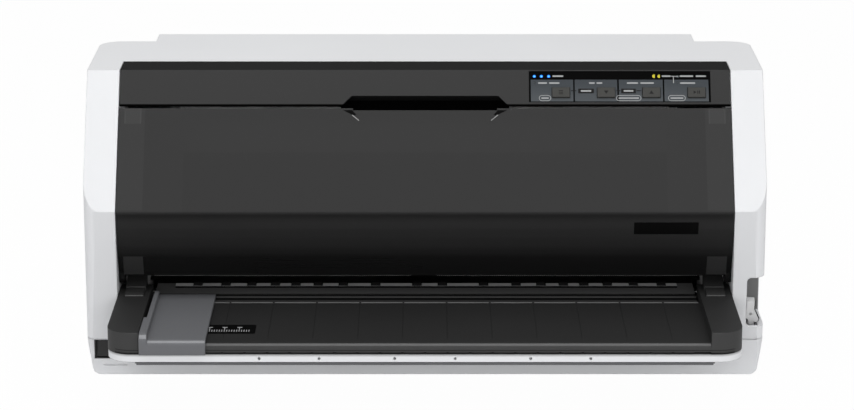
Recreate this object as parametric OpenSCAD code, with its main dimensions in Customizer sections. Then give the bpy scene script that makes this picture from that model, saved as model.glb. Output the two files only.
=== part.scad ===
// Flatbed dot matrix printer: a white case with a black paper table in front, a smoked
// cover that swings down over the table, and the print mechanism on a sheet metal frame.
// Y = 0 is the front bend of the case and Z = 0 the table top it stands on; the finished
// part is moved so that its origin lies under the middle of its bounding box.

/* [Case] */
// Width of the case
case_w = 480; // [474:1:500]
// Height of the top above the ground
case_h = 210; // [206:1:222]
// Depth from the front bend to the rear face
case_d = 282; // [280:1:300]
// Height of the bend between the upright front and the slope
bend_h = 121; // [118:1:126]
// How far the slope runs back
slope_run = 57.5; // [55:0.5:60]
// How far the foot of the front stands back from the bend
foot_back = 3; // [1:0.5:4]
// Height of the seam between the lower and the upper case
seam_h = 26.6; // [26:0.1:28]
// Depth of the two top shoulders
shoulder_d = 156; // [150:1:160]
// Depth of the hood between the shoulders
hood_d = 182; // [178:1:186]
// Width of each shoulder beside the hood
shoulder_w = 39; // [35:1:42]
// How much narrower the hood is at its rear edge
hood_taper = 3.2; // [0:0.2:8]
// How far the rear deck starts below the top
deck_drop = 40; // [34:1:50]
// Height of the rear deck at the rear face
deck_rear_h = 118; // [114:1:124]
// Radius of the upright front corners
front_r = 12; // [8:1:14]
// Radius of the upright rear corners
rear_r = 16; // [10:1:18]
// Wall of the two case shells
wall = 2.5; // [2:0.1:3]
// How far each side leans in below the seam
base_draft = 4; // [1:0.5:5]
// Radius of the long lower edges of the case
base_r = 6; // [2:0.5:8]
// Shadow groove along the seam
groove = 0.5; // [0.3:0.1:0.8]

/* [Feet and screws] */
// How far the rubber feet stand out below the case
foot_h = 0.8; // [0.8:0.1:2]
// Radius of a rubber foot
foot_r = 9; // [6:0.5:11]
// How deep a foot sits in the case floor
foot_seat = 1; // [0.6:0.1:1.4]
// Distance of the feet from the front and rear of the case
foot_in = 34; // [30:1:40]
// Head radius of a case screw
screw_head_r = 3.4; // [3:0.1:4]

/* [Front opening] */
// Width of each cheek beside the opening
cheek_w = 23; // [21:0.5:26]
// Height of the lower edge of the opening
open_h = 38; // [37:0.5:39]
// Depth of the cheek linings
lining_d = 112; // [100:1:120]
// Gap round the panel strip and the cover
fit_gap = 0.5; // [0.4:0.1:0.8]

/* [Panel strip] */
// How far the strip reaches back over the top
strip_top_d = 86; // [80:1:90]
// How far the strip reaches below the panel plate
strip_tail = 2.7; // [2:0.1:4]
// Thickness of the strip
strip_t = 2.2; // [1.8:0.1:2.6]
// Half width of the finger notch at its top
notch_top = 52; // [46:1:56]
// Half width of the finger notch at its foot
notch_foot = 60; // [57:1:64]
// Height of the finger notch
notch_h = 7.3; // [6:0.1:9]
// Depth of the pocket behind the finger notch
pocket_d = 11; // [9:0.5:14]

/* [Control panel] */
// Distance of the panel plate from the opening's right side
plate_in = 14.6; // [12:0.1:18]
// Width of the panel plate
plate_w = 128.6; // [128:0.1:132]
// Distance of the panel plate from the slope's upper edge
plate_drop = 0.96; // [0.8:0.02:1.4]
// Height of the panel plate
plate_h = 23.3; // [22.8:0.1:23.6]
// Thickness of the panel plate
plate_t = 0.6; // [0.4:0.1:1]
// Width of a button
button_w = 12.4; // [11.6:0.1:13]
// Height of a button
button_h = 7.2; // [6.6:0.1:7.6]
// Distance of the first button from the plate's left edge
button_in = 16.3; // [15:0.1:17]
// Distance from one button to the next
button_pitch = 32.05; // [31.6:0.05:32.4]
// Distance of the buttons from the plate's lower edge
button_up = 3.4; // [3:0.1:4.2]
// How far a button stands out of the plate
button_out = 1.3; // [1:0.1:1.8]
// Travel of a button
button_travel = 1; // [0.8:0.1:1.2]
// Gap round a button
button_gap = 0.35; // [0.25:0.05:0.45]
// Radius of a lamp lens
led_r = 1; // [0.8:0.1:1.2]

/* [Front cover] */
// Gap between the cover's upper edge and the strip
cover_gap = 2; // [1.5:0.1:2.5]
// Wall of the cover
cover_t = 2.2; // [1.8:0.1:2.6]
// Lean of the cover just below the bend
cover_lean = 5; // [2:0.5:8]
// How far the lower edge of the cover stands back
cover_back = 14; // [11:0.5:15]
// Height of the lower edge of the cover
cover_low_h = 70.7; // [69:0.1:73]
// Height of the cover's hinge pins
hinge_h = 70; // [69:0.5:72]
// Radius of a hinge pin
hinge_r = 2.5; // [2:0.1:3]
// Running clearance of pins and shafts in their holes
run_gap = 0.05; // [0.03:0.01:0.08]

/* [Paper table] */
// How far the table stands out in front of the bend
table_reach = 88; // [80:1:96]
// Width of each arm of the table
arm_w = 22.3; // [20:0.1:25]
// Height of the table floor
table_h = 52.5; // [52:0.1:53]
// Height of the top of the arms
arm_h = 60; // [58:0.5:61]
// Height of the lower edge of the table
table_low_h = 44.7; // [44:0.1:46]
// Wall of the table
table_t = 2.2; // [1.8:0.1:2.6]
// Radius of the table's front corners
table_r = 17; // [12:1:20]
// Rear end of the table floor
table_rear = 8.3; // [6:0.1:9]
// Rear end of the arms
arm_rear = 28; // [24:1:30]
// Radius of the table's front edge
table_edge_r = 4; // [2:0.5:5]
// Spacing of the grooves in the table floor
groove_pitch = 30.6; // [28:0.1:34]
// Height of the underside of the white tray
tray_low_h = 39.2; // [38.6:0.1:41]

/* [Edge guide] */
// Width of the guide's plate
guide_w = 39.6; // [34:0.2:46]
// Gap between the finger grip and the left arm
grip_gap = 0.4; // [0.3:0.05:1]
// Thickness of the fence
fence_t = 3.2; // [2.5:0.1:3.8]
// Extra thickness of the finger grip at the front
grip_t = 2.2; // [1.6:0.1:3]
// Length of the finger grip
grip_l = 41; // [34:1:50]
// Radius of the guide's front edge
guide_r = 3.6; // [2.6:0.1:4]
// Height of the fence top
fence_h = 59.4; // [58.5:0.1:60.5]
// Height of the plate top
guide_h = 55.3; // [55:0.1:56]
// Rear end of the guide
guide_rear = 19; // [16:1:21]
// Thickness of the front lip
lip_t = 2.6; // [2:0.1:3]
// Gap between moving plates that slide on each other
slide_gap = 0.3; // [0.25:0.05:0.4]

/* [Right recess and lever] */
// Width of the recess in the right front corner
recess_w = 13; // [12.5:0.5:15]
// Depth of the recess
recess_d = 43; // [38:1:46]
// Lower edge of the recess
recess_low = 36.3; // [36:0.1:38]
// Upper edge of the recess
recess_high = 72.5; // [70:0.5:76]
// Radius of the recess's corners
recess_r = 3; // [1:0.5:4]
// Wall round the recess
recess_t = 2.5; // [2:0.1:3]
// Depth of the lever's pivot
lever_y = 22; // [20:0.5:24]
// Height of the lever's pivot
lever_z = 14; // [12:0.5:16]
// Angle through which the lever swings
lever_swing = 30; // [20:1:32]
// Thickness of the lever's arm
lever_t = 4; // [3:0.2:5]

/* [Power switch] */
// Distance of the switch's middle from the left side
switch_in = 11.5; // [11:0.1:13]
// Width of the rocker
rocker_w = 9; // [8:0.1:9.6]
// Height of the rocker
rocker_h = 11.6; // [10:0.1:12]
// Height of the rocker's middle
switch_z = 19.4; // [18.6:0.1:19.6]
// Angle through which the rocker tips
rocker_swing = 10; // [6:1:12]

/* [Frame] */
// Distance of the side frames from the opening's sides
frame_in = 17; // [15:0.5:20]
// Thickness of the frame sheet
sheet = 2; // [1.6:0.1:2.4]
// Height of the base frame's underside
base_z = 6.4; // [6:0.1:7]
// Front edge of the side frames
frame_y0 = 32; // [30:1:34]
// Distance of the side frames from the rear face
frame_back = 20; // [16:0.5:24]
// Height of the side frames at the carriage
frame_h = 118; // [112:1:124]
// Height of the side frames at the tractors
frame_rear_h = 100; // [98:1:103]
// Run of the slanted edges of the side frames
frame_ramp = 14; // [10:1:18]
// Height of the crossbar's sheet
crossbar_z = 96; // [95.5:0.5:99]

/* [Feed] */
// Depth of the front feed shaft
feed_y = 51.5; // [50:0.5:53]
// Height of the feed shafts
feed_z = 47.2; // [46.8:0.1:47.4]
// Radius of the feed rollers
roller_r = 7; // [6.6:0.1:7.2]
// Radius of the feed shafts
feed_shaft_r = 3; // [2.5:0.1:3.5]
// Width of a front feed roller
roller_w = 5.7; // [5:0.1:6.4]
// Module of the feed gears
gear_m = 1; // [1:0.01:1.02]
// Teeth of the two feed shaft gears and of the tractor gear
shaft_teeth = 36; // [36:2:36]
// Teeth of the idler between the feed shafts
idler_teeth = 78; // [78:2:78]
// Teeth of the motor pinion
pinion_teeth = 16; // [16:2:16]
// Width of the gears
gear_w = 5; // [4:0.2:6]
// Gap from a side frame to its gears
gear_gap = 2; // [1.5:0.1:3]

/* [Print carriage] */
// Depth of the carriage shaft
rod_y = 78; // [76:0.5:80]
// Height of the carriage shaft
rod_z = 76; // [74:0.5:78]
// Radius of the carriage shaft
rod_r = 6; // [5:0.2:6.4]
// Half width of the carriage
carriage_x = 28; // [26:1:30]
// Distance of the ribbon cartridge from the side frames
cartridge_in = 22; // [20:0.5:26]
// Width of the cartridge's arms
arm_wide = 15; // [12:0.5:16]
// Depth of the print line
print_y = 102; // [101:0.5:103]
// Height of the platen top
platen_h = 53; // [52.8:0.1:53.2]
// Radius of the belt pulleys
pulley_r = 9; // [8.4:0.1:9.4]
// Thickness of the timing belt
belt_t = 1; // [0.8:0.1:1.2]
// Depth of the pulley shafts
pulley_y = 144; // [143:0.5:146]
// Distance of the pulley shafts from the side frames
pulley_in = 18; // [16:0.5:22]

/* [Tractors and rear cover] */
// Distance of the tractor shaft from the rear face
tractor_back = 59.5; // [58:0.5:62]
// Height of the tractor shaft above the feed shafts, before the teeth are counted
tractor_rise = 40.6; // [40:0.1:42]
// Radius of the tractor shaft and its support rod
tractor_shaft_r = 4; // [3.4:0.1:4.4]
// Distance of the tractors from the middle
tractor_x = 110; // [100:1:118]
// Width of a tractor
tractor_w = 14; // [12:1:16]
// Distance of the rear opening from the hood's sides
rear_in = 11; // [9:1:14]
// Height of the rear paper slot's lower edge
slot_low = 92; // [90:1:94]
// Wall of the rear cover
rear_cover_t = 2.2; // [1.8:0.1:2.6]
// Gap between the hood and the rear cover
rear_cover_gap = 2.5; // [2.3:0.1:4]
// How far the rear cover stops short of the rear face
rear_cover_in = 6; // [5:0.5:12]
// Radius of a carrying pin on the covers and the cartridge
pin_r = 3; // [2.4:0.1:3.2]

/* [Hidden] */
$fn = 48;

slope_a = atan2(case_h - bend_h, slope_run);
slope_len = norm([slope_run, case_h - bend_h]);
hood_w = case_w - 2 * shoulder_w;
open_w = case_w - 2 * cheek_w;
table_w = open_w - 2 * fit_gap;
table_in_w = table_w - 2 * arm_w;
frame_x = open_w / 2 - frame_in;
frame_y1 = case_d - frame_back;
rear_open_x = hood_w / 2 - rear_in;
recess_x = case_w / 2 - recess_w;
switch_x = switch_in - case_w / 2;
pulley_x = frame_x - pulley_in;
deck_h = case_h - deck_drop;
plate_x = open_w / 2 - plate_in - plate_w;
plate_s = slope_len - plate_drop - plate_h;
strip_low = plate_s - strip_tail;
cover_top = strip_low - cover_gap;
notch_s = strip_low + notch_h;
button_x = plate_x + button_in;
button_s = plate_s + button_up;
mid_y = (case_d - table_reach - slide_gap - lip_t) / 2;
guide_wall_front = table_reach + slide_gap;

// height of the rear deck at depth y
function deck_z(y) = deck_h - (y - hood_d) * (deck_h - deck_rear_h) / (case_d - hood_d);

// corner b of an outline, moved so that the sides a-b and b-c both move left by t
function shifted(a, b, c, t) =
    let (u = (b - a) / norm(b - a), v = (c - b) / norm(c - b),
         p = [-u.y, u.x], q = [-v.y, v.x])
    b + t * (p + q) / (1 + p * q);
function inset(pts, t) =
    let (n = len(pts))
    [for (i = [0 : n - 1]) shifted(pts[(i + n - 1) % n], pts[i], pts[(i + 1) % n], t)];
// an open path given a thickness t to its left
function thick_path(pts, t) =
    let (n = len(pts),
         first = 2 * pts[0] - pts[1],
         last = 2 * pts[n - 1] - pts[n - 2],
         ext = concat([first], pts, [last]))
    concat(pts, [for (i = [n : -1 : 1]) shifted(ext[i - 1], ext[i], ext[i + 1], t)]);

// side outline of the tall front block and of the rear deck, as [depth, height]
tall_side = [[foot_back, 0], [hood_d, 0], [hood_d, case_h], [slope_run, case_h], [0, bend_h]];
deck_front = shoulder_d - 26;
deck_start = slope_run + 10;
deck_side = [[deck_start, 0], [case_d, 0], [case_d, deck_rear_h], [deck_front, deck_z(deck_front)],
    [deck_start, deck_z(deck_front)]];

// a piece in the printer's own frame
module placed() {
    translate([0, -mid_y, 0]) children();
}
// an outline of depths and heights, extruded across the printer
module across(w) {
    translate([-w / 2, 0, 0]) rotate([90, 0, 90]) linear_extrude(w) children();
}
// across the printer from x0 to x1
module from_x(x0, x1) {
    translate([x0, 0, 0]) rotate([90, 0, 90]) linear_extrude(x1 - x0) children();
}
// x across, y up the slope, z outwards
module on_slope() {
    translate([0, 0, bend_h]) rotate([slope_a, 0, 0]) children();
}
module block(low, high) {
    translate(low) cube(high - low);
}
module both_sides() {
    for (side = [0, 1]) mirror([side, 0, 0]) children();
}
// plan of a box with rounded upright corners
module plan(w, y0, y1, rf, rr) {
    difference() {
        translate([-w / 2, y0]) square([w, y1 - y0]);
        both_sides() {
            translate([w / 2 - rf, y0 + rf]) corner_cut(rf, -90);
            translate([w / 2 - rr, y1 - rr]) corner_cut(rr, 0);
        }
    }
}
// what a rounding of radius r takes off a square corner
module corner_cut(r, turn) {
    rotate(turn) difference() {
        square(r + 1);
        circle(r);
    }
}

module tall_block(t = 0) {
    intersection() {
        across(case_w + 2) polygon(inset(tall_side, t));
        linear_extrude(case_h + 1) {
            plan(case_w - 2 * t, t, shoulder_d - t, front_r - t, rear_r - t);
            polygon([[-hood_w / 2 + t, t + front_r], [hood_w / 2 - t, t + front_r],
                [(hood_w - hood_taper) / 2 - t, hood_d - t],
                [-(hood_w - hood_taper) / 2 + t, hood_d - t]]);
        }
    }
}
module deck_block(t = 0) {
    intersection() {
        across(case_w + 2) polygon(inset(deck_side, t));
        linear_extrude(case_h) plan(case_w - 2 * t, t, case_d - t, front_r - t, rear_r - t);
    }
}
module case_form(t = 0) {
    tall_block(t);
    deck_block(t);
}

// along the printer's depth from y0 to y1, an outline of widths and heights
module from_y(y0, y1) {
    translate([0, y1, 0]) rotate([90, 0, 0]) linear_extrude(y1 - y0) children();
}
// a round bar across the printer
module bar_x(x0, x1, y, z, r) {
    translate([x0, y, z]) rotate([0, 90, 0]) cylinder(h = x1 - x0, r = r);
}
module bar_y(y0, y1, x, z, r) {
    translate([x, y0, z]) rotate([-90, 0, 0]) cylinder(h = y1 - y0, r = r);
}
module post(x, y, z0, z1, r) {
    translate([x, y, z0]) cylinder(h = z1 - z0, r = r);
}

// ---- case ----

case_floor = foot_h + wall;
base_top = base_z + sheet;
far = case_w + case_d;
screw_x = case_w / 2 - 11;
screw_y = [70, case_d - 24];
screw_split = seam_h - 2.6;
foot_x = case_w / 2 - 40;
switch_box = [rocker_w + 3, 18, rocker_h + 2.6];
board_z = seam_h;
boss_x = frame_x - 12;
boss_y = [frame_y0 + 14, frame_y1 - 14];
rear_hinge_y = hood_d + 10;
rear_hinge_z = deck_z(rear_hinge_y) - 7;
lining_low = slot_low + 12;
hinge_y = cover_back + 4;

// the sides below the seam lean in and end in a rounding; t moves them further inwards
module sides_lean(t = 0) {
    x = case_w / 2 - t;
    r = base_r - t;
    low = foot_h + t;
    edge = [for (a = [0 : 15 : 90]) [x - base_draft - r + r * sin(a), low + r - r * cos(a)]];
    from_y(-far, far) polygon(concat(edge, [[x, seam_h], [x, case_h + 1], [-x, case_h + 1], [-x, seam_h]],
        [for (i = [len(edge) - 1 : -1 : 0]) [-edge[i].x, edge[i].y]]));
}
module lower_shell() {
    difference() {
        intersection() {
            case_form();
            sides_lean();
            block([-far, -far, foot_h], [far, far, seam_h]);
        }
        intersection() {
            case_form(wall);
            sides_lean(wall);
            block([-far, -far, case_floor], [far, far, far]);
        }
    }
}
// the tongue that keeps the two shells in line
module seam_tongue() {
    difference() {
        union() {
            intersection() {
                case_form(wall);
                block([-far, -far, seam_h - 3], [far, far, seam_h]);
            }
            intersection() {
                case_form(wall + slide_gap);
                block([-far, -far, seam_h - 1], [far, far, seam_h + 1.5]);
            }
        }
        case_form(wall + 1.6);
    }
}
module switch_hole(gap = 0) {
    translate([switch_x, switch_box.y / 2 + 1, switch_z])
        cube([switch_box.x + 2 * gap, switch_box.y + 6, switch_box.z], center = true);
}

module lower_case() {
    color("gainsboro") placed() difference() {
        union() {
            lower_shell();
            seam_tongue();
            for (x = [-boss_x, 0, boss_x], y = boss_y) post(x, y, foot_h, base_z, 5);
            both_sides() for (y = screw_y) post(screw_x, y, foot_h, screw_split, 6);
            both_sides() for (y = [foot_in, case_d - foot_in])
                post(foot_x, y, foot_h, case_floor + foot_seat, foot_r + 2);
            lever_bracket();
        }
        switch_hole();
        both_sides() for (y = [foot_in, case_d - foot_in]) post(foot_x, y, 0, foot_h + foot_seat, foot_r);
        both_sides() for (y = screw_y) {
            post(screw_x, y, 0, foot_h + 5, screw_head_r + 0.3);
            post(screw_x, y, 0, seam_h, 1.8);
        }
        // the shallow slot line under the switch
        block([switch_x + 0.5, -1, switch_z - 12], [switch_x + 17, foot_back + 0.5, switch_z - 11.2]);
    }
}
module lever_bracket() {
    block([recess_x - 4, lever_y - 5, foot_h], [recess_x, lever_y + 5, lever_z + 5]);
    bar_x(recess_x - 1, recess_x + lever_t + 3, lever_y, lever_z, pin_r);
}

module upper_shell() {
    difference() {
        case_form();
        case_form(wall);
        block([-open_w / 2, -far, open_h], [open_w / 2, strip_top_d + fit_gap, far]);
        block([-rear_open_x, hood_d, slot_low], [rear_open_x, far, far]);
    }
}
module cheek_linings() {
    both_sides() intersection() {
        tall_block();
        block([open_w / 2, -1, open_h - wall], [open_w / 2 + wall, lining_d, far]);
    }
    both_sides() intersection() {
        deck_block();
        block([rear_open_x, hood_d - 1, lining_low], [rear_open_x + wall, far, far]);
    }
    // shelf under the tray
    block([-open_w / 2 + 14, foot_back, open_h - wall], [open_w / 2 - 14, 16, open_h]);
}
module strip_ledges() {
    ledge = strip_t + 2;
    both_sides() difference() {
        from_x(open_w / 2 - 4, open_w / 2 + 1) polygon(thick_path(strip_path, ledge));
        from_x(open_w / 2 - 5, open_w / 2 + 2) polygon(thick_path(strip_path, strip_t));
    }
    block([-open_w / 2, strip_top_d - 3, case_h - strip_t - 2],
        [open_w / 2, strip_top_d + 3, case_h - strip_t]);
}
module recess_walls() {
    intersection() {
        tall_block();
        block([recess_x - recess_t, -1, recess_low - recess_t],
            [case_w, recess_d + recess_t, recess_high + recess_t]);
    }
}
module recess_cut() {
    r = recess_r;
    from_y(-1, recess_d) difference() {
        translate([recess_x, recess_low]) square([case_w, recess_high - recess_low]);
        translate([recess_x + r, recess_low + r]) corner_cut(r, 180);
        translate([recess_x + r, recess_high - r]) corner_cut(r, 90);
    }
}
module screw_posts() {
    both_sides() for (y = screw_y) {
        post(screw_x, y, screw_split, screw_split + 36, 4.5);
        block([screw_x, y - 1, seam_h + 2], [case_w / 2 - 1, y + 1, screw_split + 36]);
    }
}
module port_hole(low, high, gap = 0.4) {
    block([low.x - gap, case_d - wall - 1, low.y - gap], [high.x + gap, case_d + 1, high.y + gap]);
}

module upper_case() {
    color("whitesmoke") placed() difference() {
        union() {
            upper_shell();
            cheek_linings();
            strip_ledges();
            recess_walls();
            screw_posts();
        }
        difference() {
            block([-far, -far, -1], [far, far, seam_h]);
            both_sides() for (y = screw_y) post(screw_x, y, screw_split, seam_h + 1, 4.5);
        }
        // shadow groove along the seam
        difference() {
            block([-far, -far, 0], [far, far, seam_h + groove]);
            case_form(groove + 0.1);
        }
        recess_cut();
        // slot for the lever's arm
        block([recess_x + 1, lever_y - 16, recess_low - recess_t - 1],
            [recess_x + lever_t + 5, lever_y + 5 + 24 * sin(lever_swing), recess_low + 1]);
        both_sides() bar_x(open_w / 2 - 1, open_w / 2 + wall + 1, hinge_y, hinge_h, hinge_r + run_gap);
        both_sides() bar_x(rear_open_x - 1, rear_open_x + wall + 1, rear_hinge_y, rear_hinge_z,
            pin_r + run_gap);
        both_sides() for (y = screw_y) post(screw_x, y, 0, screw_split + 13, 1.5);
        port_hole(parallel_low, parallel_high);
        port_hole(usb_low, usb_high);
        port_hole(inlet_low, inlet_high);
    }
}
module rubber_feet() {
    color("dimgray") placed() both_sides() for (y = [foot_in, case_d - foot_in])
        post(foot_x, y, 0, foot_h + foot_seat, foot_r - 0.2);
}
module case_screws() {
    color("silver") placed() both_sides() for (y = screw_y) {
        post(screw_x, y, foot_h + 2.6, foot_h + 5, screw_head_r);
        post(screw_x, y, foot_h + 4, screw_split + 12, 1.45);
    }
}

// ---- panel ----

function slope_point(s) = [0, bend_h] + s * [slope_run, case_h - bend_h] / slope_len;
strip_path = [[strip_top_d, case_h], [slope_run, case_h], slope_point(strip_low)];
panel_floor = -strip_t - 5.8;
// lamps, measured from the plate's lower left corner
led_places = [[3.8, 19.4], [8.8, 19.4], [14, 19.4], [4, 14.6], [105.5, 19.2], [105.3, 14.6]];
led_spots = [for (p = led_places) [plate_x + p.x, plate_s + p.y]];
board_posts = [for (n = [0.5, 2.5]) [button_x + button_w / 2 + n * button_pitch, plate_s + 3]];

module notch(z0, z1) {
    on_slope() translate([0, 0, z0]) linear_extrude(z1 - z0)
        polygon([[-notch_top, notch_s], [-notch_foot, strip_low - 1], [notch_foot, strip_low - 1],
            [notch_top, notch_s]]);
}
// wall over and behind the finger notch
module notch_pocket() {
    t = 1.5;
    on_slope() {
        block([-notch_foot, notch_s, -pocket_d], [notch_foot, notch_s + t, 0.1 - strip_t]);
        block([-notch_foot, strip_low - 9, -pocket_d - t], [notch_foot, notch_s + t, -pocket_d]);
    }
}
module button_box(n, gap, z0, z1) {
    x = button_x + n * button_pitch;
    on_slope() block([x - gap, button_s - gap, z0], [x + button_w + gap, button_s + button_h + gap, z1]);
}
module led_pins(gap, z0, z1) {
    on_slope() for (p = led_spots) translate([p.x, p.y, z0]) cylinder(h = z1 - z0, r = led_r + gap);
}
module plate_box(gap, z0, z1) {
    on_slope() block([plate_x - gap, plate_s - gap, z0],
        [plate_x + plate_w + gap, plate_s + plate_h + gap, z1]);
}

module panel_strip() {
    color([0.2, 0.2, 0.21]) placed() difference() {
        union() {
            across(open_w - 2 * fit_gap) polygon(thick_path(strip_path, strip_t));
            on_slope() for (p = board_posts) translate([p.x, p.y, panel_floor])
                cylinder(h = -panel_floor - 1, r = 2.5);
            notch_pocket();
        }
        notch(-10, 10);
        plate_box(0.1, -plate_t, 5);
        for (n = [0 : 3]) button_box(n, button_gap, -5, 5);
        led_pins(0.1, -6, 5);
    }
}
module panel_plate() {
    color([0.34, 0.36, 0.38]) placed() difference() {
        plate_box(0, -plate_t, 0);
        for (n = [0 : 3]) button_box(n, button_gap, -5, 5);
        led_pins(0.1, -5, 5);
    }
}
module button(n) {
    color([0.22, 0.23, 0.24]) placed() {
        button_box(n, 0, panel_floor + 1.3 + button_travel, button_out);
        button_box(n, 1, -strip_t - 1.3, -strip_t - 0.3);
    }
}
module led_lenses() {
    color([0.2, 0.45, 0.95]) placed() led_pins(0, panel_floor, 0);
}
module panel_board() {
    color("seagreen") placed() {
        on_slope() block([plate_x + 1.5, plate_s + 0.5, panel_floor - 1.6],
            [plate_x + plate_w - 1.5, plate_s + plate_h - 0.5, panel_floor]);
        for (n = [0 : 3]) button_box(n, -2, panel_floor - 0.1, panel_floor + 1);
    }
}

// ---- front cover ----

// the front of the cover is an arc from the bend to the lower edge
cover_steps = 8;
cover_drop = bend_h - cover_low_h;
cover_end = 2 * atan2(cover_back, cover_drop) - cover_lean;
cover_r = norm([cover_back, cover_drop]) / (2 * sin((cover_end - cover_lean) / 2));
cover_arc = [for (i = [0 : cover_steps])
    let (a = cover_lean + (cover_end - cover_lean) * i / cover_steps)
    [cover_r * (cos(cover_lean) - cos(a)), bend_h - cover_r * (sin(a) - sin(cover_lean))]];
cover_path = concat([slope_point(cover_top)], cover_arc);
cover_x = open_w / 2 - fit_gap;
hinge_w = 4;

module front_cover() {
    color([0.25, 0.25, 0.26, 0.8]) placed() {
        difference() {
            across(2 * cover_x) polygon(thick_path(cover_path, cover_t));
            on_slope() block([-notch_top + 1, cover_top - 1.5, -cover_t - 1],
                [notch_top - 1, cover_top + 1, 1]);
        }
        both_sides() {
            from_x(cover_x - 2, cover_x) polygon(thick_path(cover_path, cover_t + 3.6));
            bar_x(cover_x - hinge_w, cover_x, hinge_y, hinge_h, hinge_r + 3);
            bar_x(cover_x - 1, open_w / 2 + wall - 0.3, hinge_y, hinge_h, hinge_r);
            on_slope() block([cover_x - 17.4, cover_top - 17, -cover_t - 6],
                [cover_x - 5, cover_top - 6, -cover_t]);
        }
    }
}

// ---- table, tray and guide ----

table_x = table_w / 2;
arm_x = table_in_w / 2;
tray_holes = [20.5, 71.8, 112.5];
comb_pitch = groove_pitch / 2;
comb_bar = comb_pitch - 1.8;
comb_h = 1.8;
comb_d = 1.4;
arm_end = arm_rear - 15;
comb_count = floor((arm_x - 8) / comb_pitch);
groove_count = floor((arm_x - 40) / groove_pitch);

module paper_table() {
    color([0.17, 0.17, 0.18]) placed() {
        difference() {
            translate([0, 0, table_low_h]) linear_extrude(arm_h - table_low_h)
                plan(table_w, -table_reach, arm_rear, table_r, 2);
            block([-arm_x, -far, table_h], [arm_x, far, far]);
            block([-arm_x, table_rear, 0], [arm_x, far, far]);
            block([-arm_x + table_t, -table_reach + table_t, 0], [arm_x - table_t, far, table_h - table_t]);
            both_sides() block([arm_x + table_t, -table_reach + table_r + 1, 0],
                [table_x - table_t, arm_rear - table_t, arm_h - table_t]);
            from_x(-arm_x, arm_x) translate([table_edge_r - table_reach, table_h - table_edge_r])
                corner_cut(table_edge_r, 90);
            both_sides() for (i = [0 : groove_count])
                translate([(i + 0.5) * groove_pitch, -table_reach + 12, table_h - 0.2])
                    block([-0.25, 0, 0], [0.25, table_reach + table_rear - 15, 1]);
            // groove along the foot of the lip
            block([-arm_x, -far, -1], [arm_x, comb_d - table_reach, table_low_h + comb_h]);
        }
        // comb bars in the groove
        for (i = [-comb_count : comb_count - 1])
            translate([(i + 0.5) * comb_pitch, -table_reach, table_low_h])
                block([-comb_bar / 2, 0.5, 0.2], [comb_bar / 2, comb_d + 0.1, comb_h + 0.1]);
        // raised end of each arm below the cover's hinge
        both_sides() from_x(arm_x + 3.7, cover_x - hinge_w - 0.6)
            polygon([[arm_end, arm_h - 0.1], [arm_rear, arm_h - 0.1], [arm_rear, arm_h + 7.8],
                [hinge_y, arm_h + 4.4], [arm_end, arm_h + 2.4]]);
    }
}
module table_tray() {
    color("whitesmoke") placed() {
        difference() {
            translate([0, 0, tray_low_h]) linear_extrude(table_low_h - tray_low_h)
                plan(table_w - 0.4, -table_reach + 0.2, arm_rear - 4, table_r, 2);
            translate([0, 0, tray_low_h + 2]) linear_extrude(far)
                plan(table_w - 5, -table_reach + 2.5, arm_rear - 7, table_r - 2.3, 1);
            both_sides() for (x = tray_holes)
                bar_y(-table_reach - 1, -table_reach + 4, x, (tray_low_h + table_low_h) / 2 - 0.3, 1);
        }
        block([-arm_x - 3, -table_reach + 4, tray_low_h - 2.2], [arm_x + 3, -table_reach + 7, tray_low_h]);
        both_sides() for (x = [-arm_x + 15 : 70 : -15])
            block([x, foot_back + 1, open_h], [x + 3, 14, tray_low_h]);
    }
}
guide_front = -guide_wall_front - lip_t;
guide_low = table_h + slide_gap;
guide_fence = grip_gap + grip_t + fence_t - arm_x;
guide_right = guide_fence + guide_w;
module edge_guide() {
    r = guide_r;
    plate = concat([[guide_rear, guide_low], [guide_rear, guide_h], [guide_front + r, guide_h]],
        [for (a = [15 : 15 : 75]) [guide_front + r - r * sin(a), guide_h - r + r * cos(a)]],
        [[guide_front, guide_h - r], [guide_front, table_low_h + 0.3],
            [guide_front + lip_t, table_low_h + 0.3], [guide_front + lip_t, guide_low]]);
    fence = concat([[13, guide_low], [13, fence_h], [guide_front + 6, fence_h]],
        [for (a = [15 : 15 : 75]) [guide_front + 6 - 6 * sin(a), fence_h - 6 + 6 * cos(a)]],
        [[guide_front, fence_h - 6], [guide_front, table_low_h + 0.3],
            [guide_front + lip_t, table_low_h + 0.3], [guide_front + lip_t, guide_low]]);
    color([0.37, 0.38, 0.39]) placed() {
        from_x(guide_fence - 0.1, guide_right) polygon(plate);
        from_x(guide_fence - fence_t, guide_fence) polygon(fence);
        intersection() {
            from_x(guide_fence - fence_t - grip_t, guide_fence - fence_t + 0.1) polygon(fence);
            block([-far, guide_front, 0], [0, guide_front + grip_l, far]);
        }
    }
}

// ---- switch and lever ----

rocker_y = 9.2;
module power_switch() {
    color([0.1, 0.1, 0.1]) placed() difference() {
        translate([switch_x, switch_box.y / 2 + 4.2, switch_z])
            cube([switch_box.x, switch_box.y, switch_box.z], center = true);
        block([switch_x - rocker_w / 2 - 0.3, 0, switch_z - rocker_h / 2 - 0.8],
            [switch_x + rocker_w / 2 + 0.3, rocker_y + 7, switch_z + rocker_h / 2 + 0.8]);
        bar_x(switch_x - rocker_w / 2 - 1, switch_x + rocker_w / 2 + 1, rocker_y, switch_z, 1.5 + run_gap);
    }
}
module power_rocker() {
    h = rocker_h / 2;
    color([0.16, 0.16, 0.17]) placed() translate([0, rocker_y, switch_z]) {
        from_x(switch_x - rocker_w / 2, switch_x + rocker_w / 2)
            polygon([[-2.8 - 2 * h * tan(rocker_swing), -h], [3, -h + 2], [5, 0], [3, h - 2],
                [-2.8, h], [-3.4, 0]]);
        bar_x(switch_x - rocker_w / 2 - 0.8, switch_x + rocker_w / 2 + 0.8, 0, 0, 1.5);
    }
}
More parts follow.
